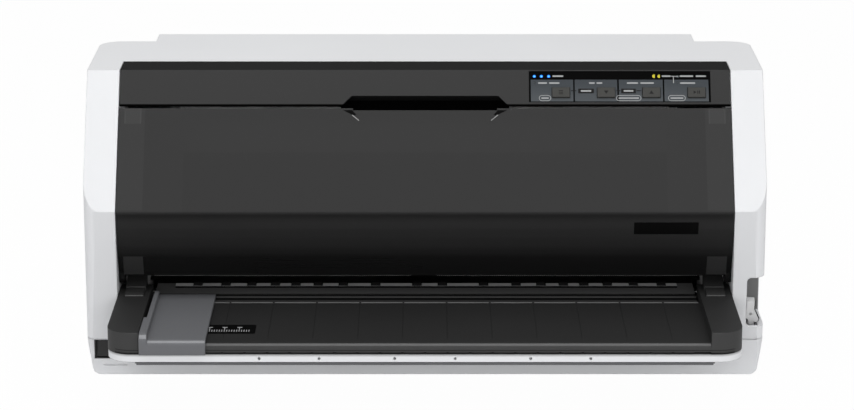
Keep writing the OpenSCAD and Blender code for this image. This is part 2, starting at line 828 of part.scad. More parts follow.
module release_lever() {
    x = recess_x + 2.6;
    x0 = recess_x + 0.8;
    lean = 19;
    foot = 25.5;
    tip = 43.5;
    color([0.72, 0.73, 0.74]) placed() difference() {
        union() {
            bar_x(x, x + lever_t, lever_y, lever_z, pin_r + 3.4);
            translate([0, lever_y, lever_z]) rotate([lean, 0, 0]) {
                block([x, -3, 0], [x + lever_t, 3, foot + 4]);
                from_y(-3, 2) polygon([[x0 + 2.7, foot], [x0 + 8.2, foot], [x0 + 9, foot + 2.5],
                    [x0 + 5.4, tip - 7], [x0 + 5.4, tip], [x0, tip], [x0, foot + 3.5]]);
            }
        }
        bar_x(x - 1, x + lever_t + 1, lever_y, lever_z, pin_r + run_gap);
        translate([x0 + 3, lever_y, lever_z]) rotate([lean, 0, 0]) bar_y(-10, 10, 0, foot + 7, 1.1);
    }
}

// ---- frame ----

rear_feed_y = feed_y + gear_m * (shaft_teeth + idler_teeth);
idler_y = feed_y + gear_m * (shaft_teeth + idler_teeth) / 2;
// the tractor idler fills the distance between its two neighbours with an even count of teeth
tractor_y = case_d - tractor_back;
tractor_run = tractor_y - rear_feed_y;
tractor_idler_teeth = 2 * round((norm([tractor_run, tractor_rise]) / gear_m - shaft_teeth) / 2);
tractor_step = gear_m * (shaft_teeth + tractor_idler_teeth);
tractor_a = acos(tractor_run / tractor_step);
tractor_z = feed_z + tractor_step * sin(tractor_a);
t_idler_y = (rear_feed_y + tractor_y) / 2;
t_idler_z = (feed_z + tractor_z) / 2;
rod2_y = tractor_y + 24;
rod2_z = tractor_z - 6;
axle_r = 3;
idler_axle_r = 4;
motor_a = -55;
motor_step = gear_m * (shaft_teeth + pinion_teeth) / 2;
motor_y = rear_feed_y + motor_step * cos(motor_a);
motor_z = feed_z + motor_step * sin(motor_a);
motor_r = 16.5;
frame_out = frame_x + sheet;
gear_x = frame_out + gear_gap;
cartridge_y = 36;
cartridge_z = 94;
board_y0 = rear_feed_y + 12;
board_x = [8 - frame_x, -14];
supply_x = [frame_x - 180, frame_x - 50];
window_pitch = frame_x - 80;
frame_top_y = [rod_y - 12, pulley_y + 42];
flange_z = [cover_low_h - 8.7, cover_low_h - 1.4];

module base_frame() {
    color("silver") placed() {
        difference() {
            block([-frame_out, frame_y0, base_z], [frame_out, frame_y1, base_top]);
            for (i = [-1 : 1]) translate([i * window_pitch, 0, 0])
                block([-30, frame_y0 + 30, 0], [30, rear_feed_y - 44, far]);
        }
        block([-frame_x + 20, frame_y0, base_z], [frame_x - 20, frame_y0 + sheet, base_z + 10]);
        for (x = [board_x[0] + 8, board_x[1] - 12, supply_x[0] + 10, supply_x[1] - 10],
            y = [board_y0 + 8, frame_y1 - 8]) post(x, y, base_z, board_z, 3);
    }
}
module frame_plate() {
    difference() {
        from_x(frame_x, frame_out) difference() {
            polygon([[frame_y0, base_top], [frame_y1, base_top], [frame_y1, frame_rear_h],
                [frame_top_y[1] + frame_ramp, frame_rear_h], [frame_top_y[1], frame_h],
                [frame_top_y[0], frame_h], [frame_top_y[0] - frame_ramp, frame_rear_h],
                [frame_y0, frame_rear_h]]);
            translate([feed_y, feed_z]) circle(feed_shaft_r + run_gap);
            translate([rear_feed_y, feed_z]) circle(feed_shaft_r + run_gap);
            translate([tractor_y, tractor_z]) circle(tractor_shaft_r + run_gap);
            translate([rod2_y, rod2_z]) circle(tractor_shaft_r);
            translate([rod_y, rod_z]) circle(rod_r);
            translate([cartridge_y - pin_r - 0.3, cartridge_z - pin_r]) square([2 * pin_r + 0.6, far]);
            translate([motor_y, motor_z]) circle(6);
            translate([rear_feed_y - 12, 76]) circle(9);
        }
    }
    // flange seen behind the raised end of the arm
    block([frame_x + sheet / 2, frame_y0 + 1, flange_z[0]],
        [frame_x + 14, frame_y0 + 1 + sheet, flange_z[1]]);
}
module side_frame_left() {
    color("whitesmoke") placed() mirror([1, 0, 0]) frame_plate();
}
module side_frame_right() {
    color("whitesmoke") placed() {
        frame_plate();
        bar_x(frame_x + 0.5, gear_x + gear_w + 1.5, idler_y, feed_z, idler_axle_r);
        bar_x(frame_x + 0.5, gear_x + gear_w + 1.5, t_idler_y, t_idler_z, axle_r);
    }
}
module crossbar() {
    rear = pulley_y + 34;
    color("silver") placed() {
        difference() {
            block([-frame_x, pulley_y - 18, crossbar_z], [frame_x, rear, crossbar_z + sheet]);
            post(-pulley_x, pulley_y, 0, far, 4);
            for (i = [-1.5 : 1.5]) translate([60 * i, 0, 0])
                block([-20, pulley_y + 4, 0], [20, rear - 10, far]);
        }
        block([-frame_x, rear - sheet, crossbar_z - 16], [frame_x, rear, crossbar_z]);
        post(pulley_x, pulley_y, crossbar_z - 14, crossbar_z + 1, 2.5);
    }
}

// ---- paper path ----

bed_t = 1.6;
bed_x = arm_x - 1;
strip_y = [feed_y - 7.5, feed_y + 7.5];
strip_x = [20.3 - frame_x, frame_x - 18.6];
roller_mid = 3.3;
roller_steps = [9.2, 38.9, 62.3, 80.3, 96.4, 111.2, 128.2, 146.9, 167];
roller_reach = strip_x[1] - roller_mid - roller_w;
front_rollers = [for (side = [-1, 1], x = roller_steps) if (x < roller_reach) roller_mid + side * x];
rear_roller_pitch = 36;
rear_roller_count = floor((bed_x - 30) / rear_roller_pitch);
rear_rollers = [for (i = [-rear_roller_count : rear_roller_count]) rear_roller_pitch * i];
rear_roller_w = 12;
bed_rear = rear_feed_y + 26;

module paper_bed() {
    low = table_h - bed_t;
    color([0.13, 0.13, 0.14]) placed() difference() {
        union() {
            across(2 * bed_x) polygon([[table_rear + 1.7, low], [bed_rear, low], [bed_rear + 14, low + 17],
                [bed_rear + 13, low + 18.2], [bed_rear - 0.7, table_h], [table_rear + 1.7, table_h]]);
            block([-frame_x, 70, low], [frame_x, rear_feed_y + 20, table_h]);
            both_sides() block([bed_x - 6, 30, low - 5], [bed_x, bed_rear, low]);
        }
        for (y = [feed_y, rear_feed_y]) bar_x(-bed_x - 1, bed_x + 1, y, feed_z, feed_shaft_r + 1);
        block([strip_x[0], strip_y[0], 0], [strip_x[1], strip_y[1], far]);
        block([-far, print_y - 9.5, 0], [far, print_y + 9.5, far]);
        for (x = rear_rollers) translate([x, rear_feed_y, 0])
            block([-rear_roller_w / 2 - 1, -roller_r + 0.4, 0], [rear_roller_w / 2 + 1, roller_r - 0.4, far]);
        // groove between the bed's front ribs
        block([-far, 26.5, table_h - 0.8], [far, 29.5, far]);
    }
}
module guide_strip() {
    color([0.55, 0.56, 0.57]) placed() difference() {
        block([strip_x[0], strip_y[0], table_h - bed_t], [strip_x[1], strip_y[1], table_h + 1.3]);
        for (x = front_rollers) translate([x, feed_y, 0])
            block([-roller_w / 2 - 0.6, -roller_r + 0.6, 0], [roller_w / 2 + 0.6, roller_r - 0.6, far]);
    }
}
module platen() {
    color([0.2, 0.2, 0.2]) placed() from_x(-frame_x, frame_x)
        polygon([[print_y - 9, platen_h - 15], [print_y + 9, platen_h - 15], [print_y + 9, platen_h - 1.2],
            [print_y + 6, platen_h], [print_y - 6, platen_h], [print_y - 9, platen_h - 1.2]]);
}
module hex_end(y, z, r, x0) {
    translate([x0, y, z]) rotate([0, 90, 0]) linear_extrude(gear_gap + gear_w + 1.4)
        polygon([for (a = [0 : 60 : 300]) (r - 0.3) * [cos(a), sin(a)]]);
}
module feed_shaft(y) {
    color("silver") placed() {
        bar_x(-frame_out - 1, frame_out + 1, y, feed_z, feed_shaft_r);
        hex_end(y, feed_z, feed_shaft_r, frame_out + 0.5);
    }
}
module front_feed_shaft() { feed_shaft(feed_y); }
module rear_feed_shaft() { feed_shaft(rear_feed_y); }
module feed_rollers(y, places, w) {
    color([0.15, 0.15, 0.15]) placed() for (x = places) difference() {
        bar_x(x - w / 2, x + w / 2, y, feed_z, roller_r);
        bar_x(x - w, x + w, y, feed_z, feed_shaft_r);
    }
}
module front_feed_rollers() { feed_rollers(feed_y, front_rollers, roller_w); }
module rear_feed_rollers() { feed_rollers(rear_feed_y, rear_rollers, rear_roller_w); }

// ---- gears: involute teeth of 20 degrees pressure angle ----

backlash = 0.12;
// flank angle of a tooth at radius r, measured from the tooth's middle
function flank(z, r) =
    let (rp = gear_m * z / 2, rb = rp * cos(20), c = min(1, rb / max(r, rb)),
         inv = tan(acos(c)) * 180 / PI - acos(c), inv0 = tan(20) * 180 / PI - 20)
    90 / z - backlash / rp * 45 / PI + inv0 - inv;
function tooth(z, a) =
    let (rp = gear_m * z / 2, rr = [rp - 1.25 * gear_m, rp - 0.4 * gear_m, rp + 0.35 * gear_m, rp + gear_m])
    concat([for (r = rr) [r, a - flank(z, r)]], [for (i = [3 : -1 : 0]) [rr[i], a + flank(z, rr[i])]]);
function mesh_turn(z1, turn1, a, z2) = a + 180 + ((a - turn1) * z1 / 360 - 0.5) * 360 / z2;

module gear(y, z, teeth, turn, hole) {
    translate([gear_x, y, z]) rotate([90, 0, 90]) linear_extrude(gear_w) difference() {
        polygon([for (i = [0 : teeth - 1], p = tooth(teeth, turn + i * 360 / teeth))
            p[0] * [cos(p[1]), sin(p[1])]]);
        polygon([for (a = [0 : 360 / hole[1] : 359]) hole[0] * [cos(a + hole[2]), sin(a + hole[2])]]);
    }
}
// a round bush that a gear is pressed on, running on a stub axle
module bush(y, z, r, axle) {
    translate([gear_x, y, z]) rotate([90, 0, 90]) linear_extrude(gear_w) difference() {
        polygon([for (a = [0 : 15 : 345]) (r - 0.04) * [cos(a), sin(a)]]);
        circle(axle + run_gap);
    }
}
hex_fit = feed_shaft_r - 0.3 + 0.04;
idler_turn = mesh_turn(shaft_teeth, 0, 0, idler_teeth);
rear_turn = mesh_turn(idler_teeth, idler_turn, 0, shaft_teeth);
t_idler_turn = mesh_turn(shaft_teeth, rear_turn, tractor_a, tractor_idler_teeth);
tractor_turn = mesh_turn(tractor_idler_teeth, t_idler_turn, tractor_a, shaft_teeth);
pinion_turn = mesh_turn(shaft_teeth, rear_turn, motor_a, pinion_teeth);

module front_feed_gear() {
    color("ivory") placed() gear(feed_y, feed_z, shaft_teeth, 0, [hex_fit, 6, 30]);
}
module rear_feed_gear() {
    color("ivory") placed() gear(rear_feed_y, feed_z, shaft_teeth, rear_turn, [hex_fit, 6, 30]);
}
module idler_gear() {
    color("ivory") placed() {
        gear(idler_y, feed_z, idler_teeth, idler_turn, [2 * idler_axle_r, 24, 0]);
        bush(idler_y, feed_z, 2 * idler_axle_r, idler_axle_r);
    }
}
module tractor_idler() {
    color("ivory") placed() {
        gear(t_idler_y, t_idler_z, tractor_idler_teeth, t_idler_turn, [axle_r + 2, 24, 0]);
        bush(t_idler_y, t_idler_z, axle_r + 2, axle_r);
    }
}
module tractor_gear() {
    color("ivory") placed()
        gear(tractor_y, tractor_z, shaft_teeth, tractor_turn, [tractor_shaft_r - 0.3 + 0.04, 6, 30]);
}
module feed_pinion() {
    color("goldenrod") placed() {
        gear(motor_y, motor_z, pinion_teeth, pinion_turn, [hex_fit - 0.5, 6, 30]);
        bar_x(frame_x - 10, frame_out + 1, motor_y, motor_z, feed_shaft_r - 0.5);
        hex_end(motor_y, motor_z, feed_shaft_r - 0.5, frame_out + 0.5);
    }
}
module feed_motor() {
    color([0.3, 0.3, 0.32]) placed() difference() {
        union() {
            bar_x(frame_x - 34, frame_x - 1.5, motor_y, motor_z, motor_r);
            from_x(frame_x - 1.5, frame_x) translate([motor_y, motor_z])
                polygon([[-24, -6], [24, -6], [24, 6], [-24, 6]]);
            bar_x(frame_x - 1.5, frame_x, motor_y, motor_z, motor_r);
        }
        bar_x(frame_x - 11, frame_x + 1, motor_y, motor_z, feed_shaft_r - 0.5 + run_gap);
    }
}

// ---- print carriage ----

belt_z = [crossbar_z - 11.4, crossbar_z - 4.6];
belt_y = pulley_y - pulley_r - 0.15;
nose_z = platen_h + 2.3;
ribbon_z = platen_h + 1.4;
deck_low = ribbon_z + 3.6;
bearing = rod_r + 4;

module carriage_shaft() {
    color("silver") placed() bar_x(-frame_out - 0.5, frame_out + 0.5, rod_y, rod_z, rod_r);
}
module carriage() {
    w = carriage_x;
    rear = pulley_y - 18;
    color([0.16, 0.16, 0.17]) placed() difference() {
        union() {
            block([-w, rod_y - bearing, deck_low], [w, rear, deck_low + 4]);
            block([-w, rod_y - bearing, deck_low], [w, rod_y + bearing, rod_z + bearing]);
            block([-20, rear - 8, deck_low], [20, rear - 0.3, crossbar_z + sheet + 3.4]);
            block([-20, rear - 8, crossbar_z - 3.4], [20, rear + 5, crossbar_z - slide_gap]);
            block([-20, rear - 8, crossbar_z + sheet + slide_gap], [20, rear + 5, crossbar_z + sheet + 3.4]);
            both_sides() block([18, rod_y + bearing - 1, deck_low], [22, rear - 1, rod_z + 4]);
            block([-8, rear - 1, belt_z[0] - 5], [8, belt_y + 2.4, belt_z[0] - 1]);
            block([-8, belt_y - belt_t - 2.4, belt_z[0] - 2], [8, belt_y - belt_t - 0.2, belt_z[1] - 0.4]);
            block([-8, belt_y + 0.2, belt_z[0] - 2], [8, belt_y + 2.4, belt_z[1] - 0.4]);
        }
        bar_x(-w - 1, w + 1, rod_y, rod_z, rod_r + run_gap);
        block([-9, print_y - 8, 0], [9, print_y + 8, rod_z + 1]);
    }
}
module print_head() {
    low = deck_low + 4;
    color([0.28, 0.28, 0.3]) placed() {
        block([-16, print_y - 13, low], [16, print_y + 14, low + 3]);
        post(0, print_y, low, rod_z + 18, 13);
        from_x(-5, 5) translate([print_y, 0])
            polygon([[-7, low + 1], [-3, nose_z], [3, nose_z], [7, low + 1]]);
    }
}
module heat_sink() {
    low = rod_z + 18;
    color([0.12, 0.12, 0.13]) placed() {
        block([-19, print_y - 15, low], [19, print_y + 14, low + 2.4]);
        for (i = [0 : 7]) translate([0, print_y - 15 + i * 3.9, low]) block([-19, 0, 0], [19, 1.6, 15]);
    }
}
module ribbon_mask() {
    color("silver") placed() difference() {
        union() {
            block([-18, print_y - 11, platen_h + 0.55], [18, print_y + 11, platen_h + 0.85]);
            for (s = [-1, 1]) translate([0, print_y + s * 10.2, 0])
                block([-6, -0.8, platen_h + 0.55], [6, 0.8, deck_low]);
        }
        block([-4, print_y - 3, 0], [4, print_y + 3, platen_h + 2]);
    }
}
cartridge_x = frame_x - cartridge_in;
arm_in = cartridge_x - arm_wide;
knob_x = cartridge_x - 58;
module ribbon_cartridge() {
    low = cartridge_z - 10;
    high = cartridge_z + 10;
    color([0.1, 0.1, 0.11]) placed() difference() {
        union() {
            block([-cartridge_x, cartridge_y - 20, low], [cartridge_x, cartridge_y + 20, high]);
            both_sides() {
                from_x(arm_in, cartridge_x) polygon([[cartridge_y + 18, low + 3],
                    [rod_y + bearing + 3, low + 3], [rod_y + bearing + 5, ribbon_z + 3],
                    [print_y - 8, ribbon_z - 0.3], [print_y + 8, ribbon_z - 0.3], [print_y + 13, low + 3],
                    [print_y + 9, high - 5], [cartridge_y + 18, high - 3]]);
                bar_x(cartridge_x - 1, frame_out + 1, cartridge_y, cartridge_z, pin_r);
            }
        }
        post(knob_x, cartridge_y, cartridge_z + 1, far, pin_r + run_gap);
        // sunk field on the lid
        block([8 - cartridge_x, cartridge_y - 14, high - 0.8], [knob_x - 40, cartridge_y + 14, far]);
    }
}
module ribbon() {
    color([0.08, 0.08, 0.1]) placed()
        block([-arm_in, print_y - 6.5, ribbon_z], [arm_in, print_y + 6.5, ribbon_z + 0.3]);
}
module ribbon_knob() {
    top = cartridge_z + 10;
    color([0.12, 0.12, 0.13]) placed() difference() {
        union() {
            post(knob_x, cartridge_y, cartridge_z + 1.3, top + 1, pin_r);
            post(knob_x, cartridge_y, top + 0.3, top + 6.5, 9);
        }
        for (a = [0 : 30 : 330]) translate([knob_x, cartridge_y, 0]) rotate(a) post(10, 0, 0, far, 1.8);
    }
}
module round_ends(r) {
    translate([-pulley_x, -r]) square([2 * pulley_x, 2 * r]);
    for (s = [-1, 1]) translate([s * pulley_x, 0]) circle(r);
}
module timing_belt() {
    color([0.1, 0.1, 0.1]) placed() translate([0, pulley_y, belt_z[0]]) linear_extrude(belt_z[1] - belt_z[0])
        difference() {
            round_ends(pulley_r + 0.15 + belt_t);
            round_ends(pulley_r + 0.15);
        }
}
module pulley(x) {
    translate([x, pulley_y, 0]) {
        post(0, 0, belt_z[0] - 1, belt_z[1] + 1, pulley_r);
        post(0, 0, belt_z[0] - 1.2, belt_z[0] - 0.3, pulley_r + 2);
        post(0, 0, belt_z[1] + 0.3, belt_z[1] + 1.2, pulley_r + 2);
    }
}
module motor_pulley() {
    color("ivory") placed() {
        pulley(-pulley_x);
        post(-pulley_x, pulley_y, belt_z[1], crossbar_z + 14, 2.5);
    }
}
module idler_pulley() {
    color("ivory") placed() difference() {
        pulley(pulley_x);
        post(pulley_x, pulley_y, 0, far, 2.5 + run_gap);
    }
}
module carriage_motor() {
    low = crossbar_z + sheet;
    color([0.3, 0.3, 0.32]) placed() difference() {
        union() {
            post(-pulley_x, pulley_y, low, low + 32, 16.5);
            block([-pulley_x - 16.5, pulley_y - 16.5, low], [-pulley_x + 16.5, pulley_y + 16.5, low + 2]);
        }
        post(-pulley_x, pulley_y, 0, crossbar_z + 15, 2.5 + run_gap);
    }
}

// ---- tractors and rear cover ----

tractor_top = tractor_z + 11;
door_z = tractor_top + 4.4;
door_x = tractor_w / 2 + 3;
pin_pitch = 12.7;

module tractor_shaft() {
    color("silver") placed() {
        bar_x(-frame_out - 1, frame_out + 1, tractor_y, tractor_z, tractor_shaft_r);
        hex_end(tractor_y, tractor_z, tractor_shaft_r, frame_out + 0.5);
    }
}
module tractor_rod() {
    color("silver") placed() bar_x(-frame_out - 0.5, frame_out + 0.5, rod2_y, rod2_z, tractor_shaft_r);
}
module tractor() {
    y0 = tractor_y - 13;
    y1 = rod2_y + 10;
    color([0.2, 0.2, 0.21]) placed() translate([tractor_x, 0, 0]) {
        difference() {
            from_x(-tractor_w / 2, tractor_w / 2) difference() {
                polygon([[y0, tractor_z - 7], [y0 + 4, tractor_z - 11], [y1 - 4, rod2_z - 8],
                    [y1, rod2_z - 4], [y1, tractor_top - 3], [y1 - 3, tractor_top],
                    [y0 + 3, tractor_top], [y0, tractor_top - 3]]);
                translate([tractor_y, tractor_z]) circle(tractor_shaft_r + 0.1);
                translate([rod2_y, rod2_z]) circle(tractor_shaft_r + 0.1);
            }
        }
        for (i = [0 : 2]) post(0, y0 + 9 + i * pin_pitch, tractor_top - 1, tractor_top + 1.9, 1.6);
        for (y = [y0 + 2, y1 - 6]) difference() {
            block([tractor_w / 2 - 1, y, tractor_top - 8], [door_x + 2.6, y + 4, door_z + 2.6]);
            block([0, y - 1, tractor_top], [tractor_w / 2 + 0.3, y + 5, far]);
            bar_y(y - 1, y + 5, door_x, door_z, 1.5 + run_gap);
        }
    }
}
module tractor_door() {
    y0 = tractor_y - 13 + 6.4;
    y1 = rod2_y + 10 - 6.4;
    color([0.14, 0.14, 0.15]) placed() translate([tractor_x, 0, 0]) {
        difference() {
            block([-tractor_w / 2 - 2, y0, tractor_top + 2.3], [door_x, y1, tractor_top + 4.4]);
            for (i = [0 : 2]) post(0, tractor_y - 4 + i * pin_pitch, 0, far, 2.4);
        }
        bar_y(y0, y1, door_x, door_z, 2.2);
        bar_y(y0 - 3.6, y1 + 3.6, door_x, door_z, 1.5);
    }
}
module tractor_right() { tractor(); }
module tractor_left() { mirror([1, 0, 0]) tractor(); }
module tractor_door_right() { tractor_door(); }
module tractor_door_left() { mirror([1, 0, 0]) tractor_door(); }

module rear_cover() {
    x = rear_open_x - fit_gap;
    y0 = hood_d + rear_cover_gap;
    y1 = case_d - rear_cover_in;
    path = [[y1, deck_z(y1)], [y0, deck_z(y0)]];
    color("whitesmoke") placed() {
        across(2 * x) polygon(thick_path(path, rear_cover_t));
        both_sides() {
            from_x(x - 4, x - 2)
                polygon(thick_path([[y1 - 12, deck_z(y1 - 12)], [y0 + 1, deck_z(y0 + 1)]], 11));
            bar_x(x - 3, rear_open_x + wall - 0.3, rear_hinge_y, rear_hinge_z, pin_r);
        }
    }
}

// ---- electrics ----

board_t = 1.6;
board_top = board_z + board_t;
parallel_low = [board_x[0] + 42, board_top];
parallel_high = parallel_low + [58, 15];
usb_low = [parallel_high.x + 16, board_top];
usb_high = usb_low + [12, 11];
inlet_low = [frame_x - 64, seam_h + 4];
inlet_high = inlet_low + [28, 20];

module socket(low, high, depth, rim) {
    difference() {
        block([low.x, case_d - depth, low.y], [high.x, case_d - 0.2, high.y]);
        block([low.x + rim, case_d - depth + 4, low.y + rim], [high.x - rim, case_d + 1, high.y - rim]);
    }
}
module main_board() {
    color("seagreen") placed() {
        block([board_x[0], board_y0, board_z], [board_x[1], case_d - 6, board_top]);
        translate([board_x[0], board_y0, board_top - 0.1])
            for (c = [[62, 22, 30, 30, 3], [102, 18, 22, 14, 2.4], [132, 22, 34, 12, 8],
                [132, 44, 10, 10, 12]])
                translate([c[0], c[1], 0]) cube([c[2], c[3], c[4]]);
    }
}
module power_supply() {
    color([0.55, 0.42, 0.2]) placed() {
        block([supply_x[0], board_y0, board_z], [supply_x[1], frame_y1 - 2, board_top]);
        translate([supply_x[0], board_y0, board_top - 0.1]) {
            block([12, 8, 0], [50, 40, 20]);
            for (x = [64, 84]) post(x, 18, 0, 19, 8);
            for (i = [0 : 3]) translate([100 + i * 6, 10, 0]) cube([2, 34, 18]);
        }
    }
}
module ac_inlet() {
    color([0.1, 0.1, 0.1]) placed() {
        socket(inlet_low, inlet_high, 20, 3);
        difference() {
            block([inlet_low.x - 4, case_d - wall - 2, inlet_low.y - 2],
                [inlet_high.x + 4, case_d - wall, inlet_high.y + 4]);
            block([inlet_low.x, 0, inlet_low.y], [inlet_high.x, far, inlet_high.y]);
        }
        for (x = [-6, 0, 6]) translate([(inlet_low.x + inlet_high.x) / 2 + x, case_d - 17, inlet_low.y + 10])
            block([-1, 0, -2], [1, 12, 2]);
    }
}
module interface_ports() {
    color("silver") placed() {
        socket(parallel_low, parallel_high, 18, 2.2);
        socket(usb_low, usb_high, 16, 1.2);
    }
}

lower_case();
upper_case();
panel_strip();
panel_plate();
led_lenses();
button(0);  // button_1
button(1);  // button_2
button(2);  // button_3
button(3);  // button_4
panel_board();
front_cover();
paper_table();
table_tray();
edge_guide();
release_lever();
power_switch();
power_rocker();
base_frame();
side_frame_left();
side_frame_right();
crossbar();
paper_bed();
guide_strip();
platen();
carriage_shaft();
carriage();
print_head();
heat_sink();
ribbon_mask();
ribbon_cartridge();
ribbon();
ribbon_knob();
timing_belt();
motor_pulley();
idler_pulley();
carriage_motor();
front_feed_shaft();
front_feed_rollers();
front_feed_gear();
rear_feed_shaft();
rear_feed_rollers();
rear_feed_gear();
idler_gear();
tractor_idler();
feed_pinion();
feed_motor();
tractor_shaft();
tractor_gear();
tractor_rod();
tractor_left();
tractor_right();
tractor_door_left();
tractor_door_right();
rear_cover();
main_board();
power_supply();
ac_inlet();
interface_ports();
rubber_feet();
case_screws();
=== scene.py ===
import math

import bmesh
import bpy
from mathutils import Matrix, Vector


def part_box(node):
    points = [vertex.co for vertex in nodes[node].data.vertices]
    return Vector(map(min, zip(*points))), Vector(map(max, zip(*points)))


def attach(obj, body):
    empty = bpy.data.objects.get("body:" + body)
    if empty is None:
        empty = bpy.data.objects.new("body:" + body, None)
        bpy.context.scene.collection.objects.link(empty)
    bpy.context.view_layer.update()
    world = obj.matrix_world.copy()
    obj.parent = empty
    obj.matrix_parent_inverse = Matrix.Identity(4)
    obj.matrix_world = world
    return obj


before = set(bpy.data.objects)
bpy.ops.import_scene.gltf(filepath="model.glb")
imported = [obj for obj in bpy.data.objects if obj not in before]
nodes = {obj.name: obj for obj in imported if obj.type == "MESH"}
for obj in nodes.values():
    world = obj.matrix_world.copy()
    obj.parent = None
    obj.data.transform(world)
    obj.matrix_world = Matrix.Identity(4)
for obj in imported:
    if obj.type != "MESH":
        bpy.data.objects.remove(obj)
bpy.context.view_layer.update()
mm = 0.001
bend = -95.55  # depth of the case's front bend in the frame, in mm

cameraPlace = {
    "lens": 126.46, "pitch": 75.0, "side": 0.0014, "back": -2.1218, "height": 0.669, "nearest": 0.05,
}
studio = {
    "worldStrength": 0.42,
    "aim": (0, 0, 0.12),
    "lamps": {
        "top": {"at": (0.0, -0.5, 2.1), "size": (2.2, 0.6), "watts": 17.0, "glossy": True},
        "front": {"at": (0.0, -2.1, 0.55), "size": (1.6, 0.5), "watts": 14.5, "glossy": False},
        "left": {"at": (-2.0, -0.9, 0.9), "size": (1.2, 1.2), "watts": 0.5, "glossy": False},
        "right": {"at": (2.0, -0.9, 0.9), "size": (1.2, 1.2), "watts": 1.0, "glossy": False},
    },
    "floorColour": (0.88, 0.88, 0.89, 1.0), "floorWhite": 0.98, "floorSize": 6.0, "floorDrop": 0.0002,
}


def makeCamera():
    look = cameraPlace
    data = bpy.data.cameras.new("camera")
    data.lens = look["lens"]
    data.clip_start = look["nearest"]
    camera = bpy.data.objects.new("camera", data)
    camera.location = (look["side"], look["back"], look["height"])
    camera.rotation_euler = (math.radians(look["pitch"]), 0, 0)
    bpy.context.scene.collection.objects.link(camera)
    bpy.context.scene.camera = camera


def makeLamp(name, at, size, watts, glossy):
    data = bpy.data.lights.new(name, "AREA")
    data.shape = "RECTANGLE"
    data.size, data.size_y = size
    data.energy = watts
    lamp = bpy.data.objects.new(name, data)
    lamp.location = at
    lamp.rotation_euler = (Vector(studio["aim"]) - Vector(at)).to_track_quat("-Z", "Y").to_euler()
    lamp.visible_glossy = glossy
    bpy.context.scene.collection.objects.link(lamp)


class Wire:  # an output socket that can be used in sums
    def __init__(self, graph, socket):
        self.graph = graph
        self.socket = socket

    def math(self, operation, *others):
        return self.graph.add("ShaderNodeMath", {"operation": operation}, dict(enumerate((self, *others))))

    def __add__(self, other):
        return self.math("ADD", other)

    def __radd__(self, other):
        return self.math("ADD", other)

    def __sub__(self, other):
        return self.math("SUBTRACT", other)

    def __rsub__(self, other):
        return self.graph.add("ShaderNodeMath", {"operation": "SUBTRACT"}, {0: other, 1: self})

    def __mul__(self, other):
        return self.math("MULTIPLY", other)

    def __rmul__(self, other):
        return self.math("MULTIPLY", other)

    def __truediv__(self, other):
        return self.math("DIVIDE", other)

    def __pow__(self, other):
        return self.math("POWER", other)

    def __abs__(self):
        return self.math("ABSOLUTE")

    def __gt__(self, other):
        return self.math("GREATER_THAN", other)

    def __lt__(self, other):
        return self.math("LESS_THAN", other)

    def atLeast(self, other):
        return self.math("MAXIMUM", other)

    def between(self, low, high):
        return (self > low) * (self < high)

    def along(self, direction):
        return self.graph.add("ShaderNodeVectorMath", {"operation": "DOT_PRODUCT"},
                              {0: self, 1: tuple(direction)}, output=1)

    def ramp(self, low, high):  # 0 below low, 1 above high, smooth between
        return self.graph.add("ShaderNodeMapRange", {"interpolation_type": "SMOOTHSTEP"},
                              {0: self, 1: low, 2: high, 3: 0.0, 4: 1.0})


class Graph:  # the nodes of a material or of the world, under construction
    def __init__(self, owner):
        owner.use_nodes = True
        self.owner = owner
        self.tree = owner.node_tree
        self.tree.nodes.clear()

    def add(self, kind, settings=None, inputs=None, output=0):
        node = self.tree.nodes.new(kind)
        for key, value in (settings or {}).items():
            setattr(node, key, value)
        for key, value in (inputs or {}).items():
            if isinstance(value, Wire):
                self.tree.links.new(value.socket, node.inputs[key])
            else:
                node.inputs[key].default_value = value
        return Wire(self, node.outputs[output])

    def mix(self, amount, first, second):
        return self.add("ShaderNodeMix", {"data_type": "RGBA"}, {0: amount, 6: first, 7: second}, output=2)

    def mixShader(self, amount, first, second):
        return self.add("ShaderNodeMixShader", inputs={0: amount, 1: first, 2: second})

    def principled(self, **sockets):
        names = {"colour": "Base Color", "rough": "Roughness", "metal": "Metallic", "normal": "Normal",
                 "shine": "Specular IOR Level", "alpha": "Alpha",
                 "glow": "Emission Color", "glowStrength": "Emission Strength"}
        return self.add("ShaderNodeBsdfPrincipled",
                        inputs={names[key]: value for key, value in sockets.items()})

    def backdrop(self):  # 1 where the eye, a reflection or a clear body sees it, 0 where it only lights
        seen, glossy, clear = (self.add("ShaderNodeLightPath", output=kind) for kind in
                               ("Is Camera Ray", "Is Glossy Ray", "Is Transmission Ray"))
        return seen.atLeast(glossy).atLeast(clear)

    def finish(self, shader, kind="ShaderNodeOutputMaterial"):
        end = self.tree.nodes.new(kind)
        self.tree.links.new(shader.socket, end.inputs["Surface"])
        return self.owner


